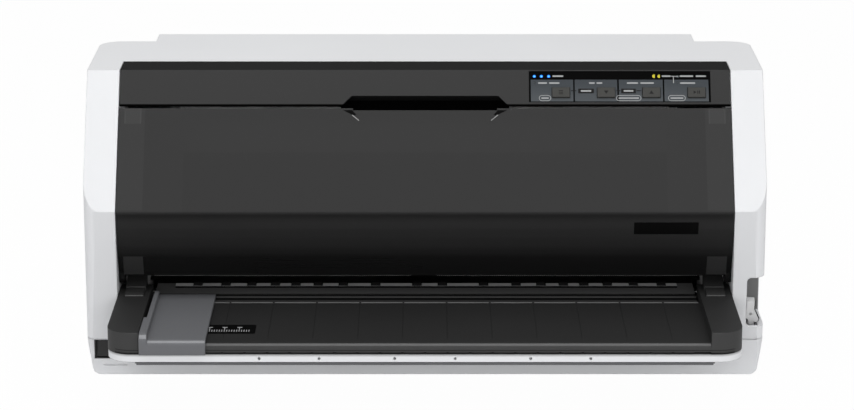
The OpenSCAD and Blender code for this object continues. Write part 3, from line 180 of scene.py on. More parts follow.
class Surface(Graph):  # the material of a piece, with the places on it in mm
    def __init__(self, name):
        super().__init__(bpy.data.materials.new(name))
        self.place = self.add("ShaderNodeTexCoord", output="Object")
        self.x = self.along((1, 0, 0)) / mm
        self.y = self.along((0, 1, 0)) / mm - bend  # behind the front bend
        self.z = self.along((0, 0, 1)) / mm
        self.facing = self.add("ShaderNodeNewGeometry", output="Normal")

    def along(self, direction):
        return self.place.along(direction)

    def noise(self, scale, detail=3.0, rough=0.5, place=None):
        return self.add("ShaderNodeTexNoise", inputs={"Vector": place or self.place, "Scale": scale,
                                                      "Detail": detail, "Roughness": rough})

    def grain(self, scale=2400.0):  # the fine texture of moulded plastic
        return self.noise(scale, 2.0, 0.6)

    def stretched(self, scale, detail=3.0):  # noise drawn out along one axis
        place = self.add("ShaderNodeMapping", inputs={"Vector": self.place, "Scale": scale})
        return self.noise(1.0, detail, 0.6, place)

    def clouded(self, level, tint=(0, 0, 0), drift=1.0, scale=7.0):  # a tone that drifts a little
        cloud = self.noise(scale, 2.0)
        return self.mix(cloud.ramp(0.3, 0.7), grey(level - drift, tint), grey(level + drift, tint))

    def bump(self, height, depth, rounding=0.0):
        inputs = {"Height": height, "Distance": depth, "Strength": 1.0}
        if rounding:
            inputs["Normal"] = self.add("ShaderNodeBevel", {"samples": 4}, {"Radius": rounding})
        return self.add("ShaderNodeBump", inputs=inputs)


def grey(level, tint=(0, 0, 0)):  # a colour as it shows on screen, 0 to 255, with a small tint
    def linear(value):
        part = max(0.0, value) / 255
        return part / 12.92 if part <= 0.04045 else ((part + 0.055) / 1.055) ** 2.4
    return tuple(linear(level + shift) for shift in tint) + (1.0,)


def colour(red, green, blue):  # a colour as it shows on screen, 0 to 255
    return grey(0, (red, green, blue))


def mouldedPlastic(name, level, tint=(0, 0, 0), rough=0.5, shine=0.5, rounding=0.0006, drift=1.5):
    graph = Surface(name)
    fine = graph.grain()
    return graph.finish(graph.principled(
        colour=graph.clouded(level, tint, drift), rough=rough - 0.06 + fine * 0.12, shine=shine,
        normal=graph.bump(fine, 0.00003, rounding)))


# limits for painted light and shade by facing: upward faces, front faces, and the painted highlight along
# edges
edging = {"upwardShading": (0.55, 0.9), "frontShading": 0.2, "edge": (0.95, 0.995), "grain": 0.00005}


def edgedPlastic(name, look, tint=(0, 0, 0)):  # plastic with painted light and shade: its own tones on front and upward faces, as lit from the front and above, and painted highlights along front edges
    graph = Surface(name)
    fine = graph.grain(2200.0)
    # painted light and shade: front and upward faces get tones of their own, as lit from the front and above
    upwardShading = graph.facing.along((0, 0, 1)).ramp(*edging["upwardShading"])
    frontShading = (graph.facing.along((0, -1, 0)) > edging["frontShading"]) * (1 - upwardShading)
    tone = graph.mix(frontShading, graph.clouded(look["side"], tint), grey(look["front"], tint))
    tone = graph.mix(upwardShading, tone, graph.clouded(look["floor"], tint, 1.2))
    # painted highlight: edges whose rounded normal leans to the front and up are paler
    rounded = graph.add("ShaderNodeBevel", {"samples": 6}, {"Radius": look["rounding"]})
    edge = rounded.along(look["lean"]).ramp(*edging["edge"])
    tone = graph.mix(edge * look["highlightLift"], tone, grey(look["edge"], tint))
    for depths, heights, level in look.get("lines", ()):  # painted shade and painted light in lines along the piece
        tone = graph.mix(graph.y.between(*depths) * graph.z.between(*heights), tone, grey(level))
    return graph.finish(graph.principled(
        colour=tone, rough=look["rough"] - 0.05 + fine * 0.1, shine=look["shine"],
        normal=graph.bump(fine, edging["grain"], look["rounding"])))


def faceFrame(nodeName):  # right, up and outward axes at the lower left corner of a tilted plate
    mesh = nodes[nodeName].data
    areas = {}
    for face in mesh.polygons:
        key = tuple(round(part, 3) for part in face.normal)
        areas[key] = areas.get(key, 0) + face.area
    outward = Vector(max((key for key in areas if key[2] > 0), key=areas.get)).normalized()
    right = Vector((1, 0, 0))
    up = outward.cross(right)
    spots = [vertex.co for vertex in mesh.vertices]
    corner = (min(spot.dot(right) for spot in spots) * right + min(spot.dot(up) for spot in spots) * up
              + max(spot.dot(outward) for spot in spots) * outward)
    return Matrix.Translation(corner) @ Matrix((right, up, outward)).transposed().to_4x4()


plateFrame = faceFrame("panel_plate")
plateCorner = plateFrame.translation
plateRight, plateUp, plateOut = (plateFrame.col[axis].to_3d() for axis in range(3))


def plateSpot(graph, direction):  # how far along one of the plate's axes, in mm
    return (graph.along(direction) - plateCorner.dot(direction)) / mm


stripLook = {
    "face": 3, "top": 32, "litInside": 24, "foot": 3, "rounding": 0.0006,
    "rough": 0.42, "shine": 0.45, "mattRough": 0.8, "mattShine": 0.02,
    "footHeight": 188.3, "pocketHeight": 203.4, "topHeight": 209.4, "skin": -2.25,
}


def panelStrip():  # glossy face, with a matt top, a finger notch painted paler inside as painted light, and lower edge
    look = stripLook
    graph = Surface("stripBlack")
    fine = graph.grain()
    skin = graph.bump(fine, 0.00002, look["rounding"])
    face = graph.principled(colour=graph.clouded(look["face"]), rough=look["rough"] + fine * 0.06,
                            shine=look["shine"], normal=skin)
    pocket = (plateSpot(graph, plateOut) < look["skin"]) * (graph.z < look["pocketHeight"])
    foot = graph.z < look["footHeight"]
    # painted light: the inside of the finger notch is a paler black, standing in for light that hardly
    # reaches it
    tone = graph.mix(pocket, graph.clouded(look["top"]), grey(look["litInside"]))
    matt = graph.principled(colour=graph.mix(foot, tone, grey(look["foot"])), rough=look["mattRough"],
                            shine=look["mattShine"], normal=skin)
    top = (graph.facing.along((0, 0, 1)) > 0.9) * (graph.z > look["topHeight"])
    return graph.finish(graph.mixShader(top.atLeast(pocket).atLeast(foot), face, matt))


coverLook = {
    "slope": 51, "rough": 0.16, "shine": 0.2, "alpha": 0.96,
    "front": ((120, 31), (112, 46), (104, 43), (96, 40), (90, 33), (85, 24), (78, 23)),  # heights and tones, a painted shade darkening the front towards its foot
    "frontRough": 0.3, "frontShine": 0.03, "bend": (118, 122),
    "rim": 2, "rimHeight": 182.0, "slopeFacing": (0, -0.84, 0.543), "slopeLimit": 0.97,
    "band": 198, "bandFoot": 122, "bandLift": 0.15, "bandTone": 78,
    "tabAcross": (200.5, 212.5), "tabHeight": (176, 186), "tabRim": 1, "tabLift": 0.12, "tabTone": 98,
    "footAcross": (199, 213), "footHeight": (71.5, 86.5), "footLift": 0.16, "footTone": 110,
    "deepAcross": 170, "deepTop": 158, "deepAmount": 0.06,
}


def smokedPlastic():  # glossy slope and matt front, with faint bands, tabs and feet seen through it, painted shade on the front and over the deep middle, and a painted shadow line along its top edge
    look = coverLook
    graph = Surface("smokedCover")
    cloud = graph.noise(5.0, 2.0)
    away = abs(graph.x)
    alpha = look["alpha"] + cloud * 0.01
    skin = graph.bump(cloud, 0.0001, 0.0005)

    tabNear, tabFar = look["tabAcross"]
    band = (away > look["band"]) * (graph.z > look["bandFoot"])
    tab = away.between(tabNear, tabFar) * graph.z.between(*look["tabHeight"])
    inner = tab * away.between(tabNear + look["tabRim"], tabFar - look["tabRim"])
    # painted shade: the middle below 158 mm is darkened, as the unlit inside seen through it
    deep = (away < look["deepAcross"]) * (graph.z < look["deepTop"])
    tone = graph.mix(band * look["bandLift"], grey(look["slope"]), grey(look["bandTone"]))
    tone = graph.mix((tab * 2 - inner) * look["tabLift"], tone, grey(look["tabTone"]))
    tone = graph.mix(deep * look["deepAmount"], tone, grey(0))
    slope = graph.principled(colour=tone, rough=look["rough"] + cloud * 0.03, shine=look["shine"],
                             alpha=alpha, normal=skin)

    foot = away.between(*look["footAcross"]) * graph.z.between(*look["footHeight"])
    # painted shadow: faces off the slope near the top edge are near black, as the shaded gap below the strip
    rim = (graph.facing.along(look["slopeFacing"]) < look["slopeLimit"]) * (graph.z > look["rimHeight"])
    # painted shade: the front's tone falls with height, as it turns to face down
    tone = grey(look["front"][-1][1])
    for (high, level), (low, _) in reversed(list(zip(look["front"], look["front"][1:]))):
        tone = graph.mix(graph.z.ramp(low, high), tone, grey(level))
    tone = graph.mix(foot * look["footLift"], tone, grey(look["footTone"]))
    tone = graph.mix(rim, tone, grey(look["rim"]))
    front = graph.principled(colour=tone, rough=look["frontRough"] + cloud * 0.03, shine=look["frontShine"],
                             alpha=alpha, normal=skin)
    below = 1 - graph.z.ramp(*look["bend"])
    return graph.finish(graph.mixShader(below.atLeast(rim), slope, front))


brushScale = {"x": (20, 1600, 1600), "y": (1600, 20, 1600), "z": (1600, 1600, 20)}


def brushedMetal(name, level, tint=(0, 0, 0), rough=0.34, along="x", spangle=0.0, metal=1.0):
    graph = Surface(name)
    lines = graph.stretched(brushScale[along])
    patchy = 0.0
    if spangle:
        cells = graph.add("ShaderNodeTexVoronoi", inputs={"Vector": graph.place, "Scale": 90.0},
                          output="Color")
        patchy = cells.along((0.4, 0.3, 0.3)) * spangle
    tone = graph.mix(lines * 0.5 + patchy, grey(level - 14, tint), grey(level + 14, tint))
    return graph.finish(graph.principled(
        colour=tone, metal=metal, rough=rough - 0.08 + lines * 0.12 + patchy * 0.12,
        normal=graph.bump(lines, 0.00001, 0.0004)))


def paintedMetal(name, level):
    graph = Surface(name)
    peel = graph.noise(700.0, 3.0)
    return graph.finish(graph.principled(
        colour=graph.clouded(level, drift=4, scale=12.0), rough=0.45 + peel * 0.08,
        normal=graph.bump(peel, 0.00004, 0.0004)))


def mouldedRubber(name, level, ribs=0.0):
    graph = Surface(name)
    dust = graph.noise(180.0, 4.0, 0.7)
    fine = graph.noise(1500.0, 2.0)
    tone = graph.mix(dust.ramp(0.45, 0.8), grey(level), grey(level + 14))
    height = fine + (graph.x * ribs).math("SINE") * 0.4 if ribs else fine
    return graph.finish(graph.principled(colour=tone, rough=0.72 + dust * 0.15, shine=0.3,
                                         normal=graph.bump(height, 0.00006, 0.0004)))


def wovenInk(name):
    graph = Surface(name)
    weave = (graph.x * 9.0).math("SINE") * (graph.y * 9.0).math("SINE")
    tone = graph.mix(weave.ramp(-0.4, 0.6), grey(6, (0, 0, 4)), grey(20, (0, 0, 6)))
    return graph.finish(graph.principled(colour=tone, rough=0.8 + weave * 0.08, shine=0.3,
                                         normal=graph.bump(weave, 0.00005)))


def circuitBoard(name, dark, light):
    graph = Surface(name)
    tracks = graph.add("ShaderNodeTexBrick", {"offset": 0.5, "squash": 0.7},
                       {"Vector": graph.place, "Scale": 160.0, "Mortar Size": 0.07, "Mortar Smooth": 0.1,
                        "Color1": (0, 0, 0, 1), "Color2": (0.15, 0.15, 0.15, 1), "Mortar": (1, 1, 1, 1)})
    lane = tracks.along((0.33, 0.33, 0.34))
    pads = graph.add("ShaderNodeTexVoronoi", {"feature": "F1"}, {"Vector": graph.place, "Scale": 240.0},
                     output="Distance")
    pad = pads < 0.18
    tone = graph.mix(pad * 0.8, graph.mix(lane, dark, light), colour(190, 186, 170))
    return graph.finish(graph.principled(colour=tone, rough=0.36 + pad * 0.1, metal=pad * 0.6,
                                         normal=graph.bump(lane + pad * 0.4, 0.00003, 0.0002)))


def turnedSteel(name, level):
    graph = Surface(name)
    lines = graph.stretched((1400, 30, 30), 2.0)
    tone = graph.mix(lines, grey(level - 18), grey(level + 10))
    return graph.finish(graph.principled(colour=tone, metal=1.0, rough=0.2 + lines * 0.12,
                                         normal=graph.bump(lines, 0.000006, 0.0003)))


caseLook = {
    "tone": 236, "tint": (-1, 0, 2), "frontShading": 224, "aheadFacing": (0.85, 0.97), "aheadTop": 121,
    "recessTone": 112, "recessAcross": (227.3, 239.6), "recessDepth": (30, 46), "recessHeight": (37, 72),
    "rough": 0.49, "shine": 0.4, "rounding": 0.0014,
}


def casePlastic():  # white, with painted shade darkening its upright fronts, and the back wall of the lever's recess darker, partly a grey inner wall and partly painted shade
    look = caseLook
    graph = Surface("caseWhite")
    fine = graph.grain()
    # the back of the lever's recess: partly a grey inner wall, partly painted shade inside the recess
    recess = (graph.x.between(*look["recessAcross"]) * graph.y.between(*look["recessDepth"])
              * graph.z.between(*look["recessHeight"]))
    # painted shade: upright front faces below the bend are a darker white, as less lit
    frontShading = graph.facing.along((0, -1, 0)).ramp(*look["aheadFacing"]) * (graph.z < look["aheadTop"])
    white = graph.clouded(look["tone"], look["tint"], 1.5)
    tone = graph.mix(frontShading, white, grey(look["frontShading"], look["tint"]))
    tone = graph.mix(recess, tone, grey(look["recessTone"]))
    return graph.finish(graph.principled(colour=tone, rough=look["rough"] + fine * 0.12, shine=look["shine"],
                                         normal=graph.bump(fine, 0.00003, look["rounding"])))


trayLook = {
    "tone": 232, "tint": (-1, 0, 2), "ribTone": 108, "ribTop": 39.3,
    "rimTone": 110, "rim": (42.4, 44.9), "rimAmount": 0.8,
    "rough": 0.5, "shine": 0.4, "rounding": 0.0008,
}


def trayPlastic():  # white, with a dark rib under the front and a painted shadow darkening it towards its top, under the table's lip
    look = trayLook
    graph = Surface("trayWhite")
    fine = graph.grain()
    rib = (graph.z < look["ribTop"]) * (graph.y < 0)
    tone = graph.mix(rib, graph.clouded(look["tone"], look["tint"], 1.5), grey(look["ribTone"]))
    # painted shadow: the tray darkens towards its top, where the table's lip overhangs it
    tone = graph.mix(graph.z.ramp(*look["rim"]) * look["rimAmount"], tone, grey(look["rimTone"]))
    return graph.finish(graph.principled(colour=tone, rough=look["rough"] + fine * 0.1, shine=look["shine"],
                                         normal=graph.bump(fine, 0.00003, look["rounding"])))


panelLook = {  # places on the plate in mm from its lower left corner
    "cells": ((1.2, 31.3), (32.4, 62.5), (63.7, 94.8), (95.9, 127.2)), "cellHeight": (0.5, 16.9),
    "cellTone": (69, 73, 77), "cellLower": (82, 86, 89), "fade": (0, 17), "bandTone": 2, "skin": -0.1,
    "rough": 0.4, "shine": 0.03,
    "lamps": ((3.8, 19.4), (8.8, 19.4), (14.0, 19.4)), "litFoot": 18.6, "litEnd": 20.0, "core": (0.1, 0.8),
    "lampLit": (20, 130, 255), "lampCore": (150, 215, 255), "lampDark": (52, 58, 62), "lampGlow": 0.9,
}


def panelSheet():
    look = panelLook
    graph = Surface("panelSheet")
    across, up, out = (plateSpot(graph, direction) for direction in (plateRight, plateUp, plateOut))
    rows = up.between(*look["cellHeight"]) * (out > look["skin"])
    cells = sum(across.between(*cell) for cell in look["cells"]) * rows
    cellTone = graph.mix(up.ramp(*look["fade"]), colour(*look["cellLower"]), colour(*look["cellTone"]))
    fine = graph.noise(1800.0, 2.0)
    tone = graph.mix(cells, grey(look["bandTone"]), cellTone)
    return graph.finish(graph.principled(
        colour=tone, rough=look["rough"] + cells * 0.15 + fine * 0.06, shine=look["shine"],
        normal=graph.bump(fine, 0.00001, 0.0002)))


def lampLens():  # three lit lenses with pale cores, the others dark
    look = panelLook
    graph = Surface("lampLens")
    across, up = plateSpot(graph, plateRight), plateSpot(graph, plateUp)
    lit = (up > look["litFoot"]) * (across < look["litEnd"])
    core = 0
    for lampAcross, lampUp in look["lamps"]:
        away = ((across - lampAcross) ** 2.0 + (up - lampUp) ** 2.0).math("SQRT")
        core = core + (1 - away.ramp(*look["core"]))
    glow = graph.mix(core, colour(*look["lampLit"]), colour(*look["lampCore"]))
    tone = graph.mix(lit, colour(*look["lampDark"]), colour(*look["lampLit"]))
    return graph.finish(graph.principled(colour=tone, rough=0.2, glow=graph.mix(lit, grey(0), glow),
                                         glowStrength=look["lampGlow"]))


# each line along a piece is its depths behind the bend, its heights and its tone; the lines are painted shade
# and painted light
tableLook = {
    # painted light: front faces paler than upward ones, with a painted highlight along front edges
    "floor": 37, "side": 40, "front": 65, "edge": 108, "highlightLift": 0.85, "lean": (0, -0.69, 0.724),
    "rough": 0.62, "shine": 0.12, "rounding": 0.0009,
    # painted light and shade on the front lip: a pale line for the lit tops of the comb and dark lines for
    # the shadow over the tray
    "lines": (((-89, -84), (47.2, 47.9), 40), ((-89, -84), (45.7, 46.5), 56),
              ((-89, -84), (44.6, 45.7), 10)),
}
# painted light: the bed's upward faces are pale grey, standing in for light that hardly reaches under the
# cover
bedLook = {
    "floor": 114, "side": 34, "front": 30, "edge": 70, "highlightLift": 0.3, "lean": (0, -0.7, 0.714),
    "rough": 0.62, "shine": 0.05, "rounding": 0.0005,
    # painted shade: dark lines for the shaded gaps and grooves, and the bed further in darkened
    "lines": (((8, 13.4), (49, 54), 58), ((13.4, 19.4), (49, 54), 20), ((22.8, 27.8), (49, 54), 26),
              ((56, 210), (45, 70), 12)),
}
# painted highlight: the edge guide's front edges are paler
guideLook = {
    "floor": 106, "side": 106, "front": 104, "edge": 156, "highlightLift": 0.8, "lean": (0, -0.7, 0.714),
    "rough": 0.5, "shine": 0.25, "rounding": 0.001,
}
guideStripLook = {
    "floor": 8, "side": 8, "front": 12, "edge": 20, "highlightLift": 0.3, "lean": (0, -0.7, 0.714),
    "rough": 0.6, "shine": 0.05, "rounding": 0.0004,
    # painted light: a near-white band along the strip, standing in for light that hardly reaches under the
    # cover
    "lines": (((44.2, 51.8), (53.2, 54.5), 225),),
}

print("finishes")
finishes = {finish.name: finish for finish in (
    casePlastic(),
    mouldedPlastic("caseGrey", 230, (-1, 0, 2), rough=0.55, shine=0.4, rounding=0.001),
    trayPlastic(),
    panelStrip(),
    panelSheet(),
    lampLens(),
    mouldedPlastic("buttonBlack", 70, (1, 1, -1), shine=0.1),
    circuitBoard("boardGreen", colour(14, 78, 40), colour(30, 120, 66)),
    smokedPlastic(),
    edgedPlastic("tableBlack", tableLook),
    edgedPlastic("bedBlack", bedLook),
    edgedPlastic("guideGrey", guideLook, (0, 1, 4)),
    mouldedPlastic("leverGrey", 216),
    mouldedPlastic("switchBlack", 24, rough=0.4, shine=0.4),
    brushedMetal("frameSteel", 168, rough=0.38, spangle=0.5),
    turnedSteel("shaftSteel", 190),
    paintedMetal("frameWhite", 200),
    edgedPlastic("stripGrey", guideStripLook),
    mouldedRubber("platenRubber", 34),
    mouldedPlastic("carriageBlack", 30, shine=0.3),
    brushedMetal("headMetal", 120, rough=0.42, along="z"),
    brushedMetal("finBlack", 46, rough=0.5, metal=0.6),
    wovenInk("ribbonInk"),
    mouldedRubber("beltRubber", 24, ribs=3.1),
    mouldedPlastic("gearNylon", 214, (2, 0, -12), rough=0.4),
    paintedMetal("motorMetal", 60),
    circuitBoard("supplyBoard", colour(120, 84, 34), colour(150, 110, 52)),
    brushedMetal("portMetal", 178, rough=0.3, along="y"),
    mouldedRubber("footRubber", 58),
    mouldedPlastic("printWhite", 166, (0, 1, 2), rough=0.6, shine=0.2, rounding=0.0001),
    mouldedPlastic("printYellow", 0, (206, 194, 60), rough=0.6, shine=0.2, rounding=0.0001, drift=4),
    mouldedPlastic("printBlack", 4, rough=0.4, shine=0.2, rounding=0.0001, drift=1),
    mouldedPlastic("markGrey", 36, rough=0.6, shine=0.1, rounding=0.0001),
    mouldedPlastic("labelBlack", 5, shine=0.05, rounding=0.0002, drift=1),
    mouldedPlastic("toothGrey", 190, rough=0.4, shine=0.3, rounding=0.0002),
    mouldedPlastic("ribHighlightGrey", 150, rough=0.4, shine=0.4, rounding=0.0002),
    mouldedPlastic("shadowGrey", 104, (-1, 0, 2), rough=0.6, shine=0.1, rounding=0.0002),
    mouldedPlastic("edgeHighlightGrey", 116, shine=0.2, rounding=0.0004),
    brushedMetal("contactGold", 178, (20, 0, -60), rough=0.3, along="y"),
)}
nodeFinish = {
    "caseWhite": ("upper_case", "rear_cover"),
    "caseGrey": ("lower_case",),
    "trayWhite": ("table_tray",),
    "stripBlack": ("panel_strip",),
    "panelSheet": ("panel_plate",),
    "lampLens": ("led_lenses",),
    "buttonBlack": ("button_1", "button_2", "button_3", "button_4"),
    "boardGreen": ("panel_board", "main_board"),
    "smokedCover": ("front_cover",),
    "tableBlack": ("paper_table",),
    "bedBlack": ("paper_bed",),
    "guideGrey": ("edge_guide",),
    "leverGrey": ("release_lever",),
    "switchBlack": ("power_switch", "power_rocker", "ac_inlet"),
    "frameSteel": ("base_frame", "crossbar", "ribbon_mask", "case_screws"),
    "shaftSteel": ("carriage_shaft", "front_feed_shaft", "rear_feed_shaft", "tractor_shaft", "tractor_rod"),
    "frameWhite": ("side_frame_left", "side_frame_right"),
    "stripGrey": ("guide_strip",),
    "platenRubber": ("platen", "front_feed_rollers", "rear_feed_rollers"),
    "carriageBlack": ("carriage", "ribbon_cartridge", "ribbon_knob", "tractor_left", "tractor_right",
                      "tractor_door_left", "tractor_door_right"),
    "headMetal": ("print_head",),
    "finBlack": ("heat_sink",),
    "ribbonInk": ("ribbon",),
    "beltRubber": ("timing_belt",),
    "gearNylon": ("motor_pulley", "idler_pulley", "front_feed_gear", "rear_feed_gear", "idler_gear",
                  "tractor_idler", "tractor_gear", "feed_pinion"),
    "motorMetal": ("carriage_motor", "feed_motor"),
    "supplyBoard": ("power_supply",),
    "portMetal": ("interface_ports",),
    "footRubber": ("rubber_feet",),
}
for finishName, names in nodeFinish.items():
    for nodeName in names:
        nodes[nodeName].data.materials.clear()
        nodes[nodeName].data.materials.append(finishes[finishName])


class Trim:  # plates and bars collected into one piece, in mm on a frame
    def __init__(self, place):
        self.place = place
        self.form = bmesh.new()

    def loop(self, outline, height):
        return [self.form.verts.new(self.place @ (Vector((u, v, height)) * mm)) for u, v in outline]

    def bridge(self, first, second):
        count = len(first)
        for i in range(count):
            j = (i + 1) % count
            self.form.faces.new((first[i], first[j], second[j], second[i]))

    def plate(self, outline, low, high):
        foot, head = self.loop(outline, low), self.loop(outline, high)
        self.form.faces.new(foot)
        self.form.faces.new(head)
        self.bridge(foot, head)

    def bar(self, u0, v0, u1, v1, low, high):
        self.plate([(u0, v0), (u1, v0), (u1, v1), (u0, v1)], low, high)

    def ring(self, outer, inner, low, high):
        loops = [self.loop(outer, low), self.loop(outer, high), self.loop(inner, high), self.loop(inner, low)]
        for i in range(4):
            self.bridge(loops[i], loops[(i + 1) % 4])

    def make(self, name, finishName, body, slot, soften=0.0):
        bmesh.ops.recalc_face_normals(self.form, faces=self.form.faces)
        mesh = bpy.data.meshes.new(name)
        self.form.to_mesh(mesh)
        self.form.free()
        mesh.materials.append(finishes[finishName])
        piece = bpy.data.objects.new(name, mesh)
        bpy.context.scene.collection.objects.link(piece)
        if soften:
            edge = piece.modifiers.new("edge", "BEVEL")
            edge.width = soften * mm
            edge.segments = 2
            edge.limit_method = "ANGLE"
        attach(piece, body)


def bendFrame(height=0.0):  # x across, y behind the front bend, z up from a height
    return Matrix.Translation(Vector((0, bend, height)) * mm)


def roundedBox(u0, v0, u1, v1, radius, steps=3):  # outline with rounded corners, anticlockwise
    radius = min(radius, (u1 - u0) / 2, (v1 - v0) / 2)
    corners = ((u1 - radius, v0 + radius, -90), (u1 - radius, v1 - radius, 0),
               (u0 + radius, v1 - radius, 90), (u0 + radius, v0 + radius, 180))
    outline = []
    for u, v, start in corners:
        for step in range(steps + 1):
            turn = math.radians(start + 90 * step / steps)
            outline.append((u + radius * math.cos(turn), v + radius * math.sin(turn)))
    return outline


def inset(box, by):
    u0, v0, u1, v1 = box
    return u0 + by, v0 + by, u1 - by, v1 - by


def disc(u, v, radius, count=16):
    return [(u + radius * math.cos(math.tau * i / count), v + radius * math.sin(math.tau * i / count))
            for i in range(count)]


printLook = {  # plain bars and rings in the places of the panel's prints, in mm from its lower left corner
    "high": 0.07, "sunk": -0.02, "trim": 0.78, "barRound": 0.5,
    "bars": ((16.6, 18.2, 24.4, 20.9), (6.4, 13.0, 12.8, 15.7), (14.2, 13.0, 21.6, 15.7),
             (42.5, 13.0, 46.6, 15.7), (47.8, 13.0, 52.0, 15.7), (69.4, 13.0, 77.4, 15.7),
             (79.0, 13.0, 88.6, 15.7), (107.1, 13.0, 117.9, 15.7), (106.9, 18.2, 116.6, 20.9),
             (118.4, 18.2, 125.7, 20.9), (94.2, 18.2, 100.6, 20.9)),
    "tags": ((34.8, 6.6, 45.9, 10.1), (65.2, 6.6, 75.7, 10.1)), "tagRound": 0.35,
    "tagBars": ((36.6, 7.8, 44.0, 9.0), (67.0, 7.8, 73.9, 9.0)), "innerRound": 0.3,
    "pills": ((6.9, 0.8, 15.5, 5.2), (61.6, 0.8, 79.4, 5.2), (98.4, 0.8, 110.8, 5.2)),
    "pillRound": 9, "pillLine": 0.42, "pillBar": 1.7,
    "links": ((100.9, 19.2, 106.0, 19.7), (102.2, 14.3, 102.8, 19.2)), "linkRound": 0.1,
    "dashes": ((29.7, 8.2, 33.4, 8.9), (61.9, 8.2, 64.7, 8.9), (76.1, 8.2, 79.3, 8.9)), "dashRound": 0.2,
    "yellow": ((88.8, 19.5, 1.35), (92.4, 19.5, 1.25)), "yellowCut": 0.55,
}


def makePrints():
    look = printLook
    high, sunk, trim = look["high"], look["sunk"], look["trim"]
    light = Trim(plateFrame)
    for u0, v0, u1, v1 in look["bars"]:
        light.plate(roundedBox(u0, v0 + trim, u1, v1 - trim, look["barRound"]), sunk, high)
    for bar in look["tagBars"]:
        light.plate(roundedBox(*bar, look["innerRound"]), sunk, 2 * high)
    for pill in look["pills"]:
        outer = roundedBox(*pill, look["pillRound"], 6)
        inner = roundedBox(*inset(pill, look["pillLine"]), look["pillRound"], 6)
        light.ring(outer, inner, sunk, high)
        light.plate(roundedBox(*inset(pill, look["pillBar"]), look["innerRound"]), sunk, high)
    for link in look["links"]:
        light.plate(roundedBox(*link, look["linkRound"]), sunk, high)
    light.make("panel_prints", "printWhite", "case", "panel_print")
    dark = Trim(plateFrame)
    for tag in look["tags"]:
        dark.plate(roundedBox(*tag, look["tagRound"]), sunk, high)
    for dash in look["dashes"]:
        dark.plate(roundedBox(*dash, look["dashRound"]), sunk, high)
    dark.make("panel_tags", "printBlack", "case", "panel_black")
    yellow = Trim(plateFrame)
    for u, v, radius in look["yellow"]:
        yellow.plate([(min(x, u + look["yellowCut"]), y) for x, y in disc(u, v, radius)], sunk, high)
    yellow.make("panel_marks", "printYellow", "case", "panel_print")


buttonLook = {
    "first": 16.3, "pitch": 32.05, "wide": 12.4, "foot": 3.4, "tall": 7.2, "out": 1.3,
    "sunk": 0.02, "high": 0.08,
    "marks": (  # outlines from the middle of each button
        [roundedBox(-1.5, row, 1.5, row + 0.5, 0.1) for row in (-1.5, -0.25, 1.0)],
        [[(-1.6, 1.2), (0, -1.2), (1.6, 1.2)]],
        [[(-1.6, -1.2), (1.6, -1.2), (0, 1.4)]],
        [[(-2.2, -1.2), (-0.2, 0), (-2.2, 1.2)],
         roundedBox(0.5, -1.2, 1.1, 1.2, 0.1), roundedBox(1.7, -1.2, 2.3, 1.2, 0.1)],
    ),
}


def makeButtonMarks():
    look = buttonLook
    middle = look["foot"] + look["tall"] / 2
    for number, shapes in enumerate(look["marks"]):
        u = look["first"] + number * look["pitch"] + look["wide"] / 2
        mark = Trim(plateFrame)
        for shape in shapes:
            mark.plate([(u + x, middle + y) for x, y in shape], look["out"] - look["sunk"],
                       look["out"] + look["high"])
        mark.make(f"button_{number + 1}_mark", "markGrey", f"button_{number + 1}", "panel_black")


coverArc = {"radius": 142.57, "lean": 5.0, "bendHeight": 121.0, "slopeRun": 57.5, "slopeRise": 89.0}


def coverPlace(height):  # depth of the cover's front at a height below the bend, and its lean in degrees
    low = math.radians(coverArc["lean"])
    turn = math.asin((coverArc["bendHeight"] - height) / coverArc["radius"] + math.sin(low))
    return coverArc["radius"] * (math.cos(low) - math.cos(turn)), math.degrees(turn)


def coverFrame(height):  # x across, y up the cover, z out of it
    depth, lean = coverPlace(height)
    spot = Vector((0, depth + bend, height)) * mm
    return Matrix.Translation(spot) @ Matrix.Rotation(math.radians(90 + lean), 4, "X")


slopeFrame = bendFrame(coverArc["bendHeight"]) @ Matrix.Rotation(
    math.atan2(coverArc["slopeRise"], coverArc["slopeRun"]), 4, "X")
labelLook = {"across": (146.6, 191.8), "height": (104.2, 113.2), "sunk": -0.05, "high": 0.12, "rows": 4}


def makeCoverLabel():  # a bare plate that follows the curve of the cover
    look = labelLook
    label = Trim(Matrix.Identity(4))
    x0, x1 = look["across"]
    low, high = look["height"]
    section = ((x0, look["sunk"]), (x1, look["sunk"]), (x1, look["high"]), (x0, look["high"]))
    loops = []
    for row in range(look["rows"] + 1):
        place = coverFrame(low + (high - low) * row / look["rows"])
        loops.append([label.form.verts.new(place @ (Vector((x, 0, out)) * mm)) for x, out in section])
    for first, second in zip(loops, loops[1:]):
        label.bridge(first, second)
    label.form.faces.new(loops[0])
    label.form.faces.new(loops[-1])
    label.make("cover_label", "labelBlack", "front_cover", "panel_black")


teethLook = {
    "height": 71.15, "runs": ((-192.0, -9.0), (8.0, 193.0)), "pitch": 1.4, "gap": 0.35, "long": 1.15,
    "root": -0.1, "top": 1.5, "behind": (-0.7, -0.1),
}


def makeCoverTeeth():
    look = teethLook
    teeth = Trim(coverFrame(look["height"]))
    root, top, gap, pitch = look["root"], look["top"], look["gap"], look["pitch"]
    for start, end in look["runs"]:
        count = int((end - start) / pitch)
        edge = []
        for i in range(count):
            u = start + i * pitch
            edge += [(u, root), (u + gap, root), (u + (pitch + gap) / 2, -look["long"])]
        last = start + count * pitch
        teeth.plate(edge + [(last, root), (last, top), (start, top)], *look["behind"])
    teeth.make("cover_teeth", "toothGrey", "front_cover", "smoked")


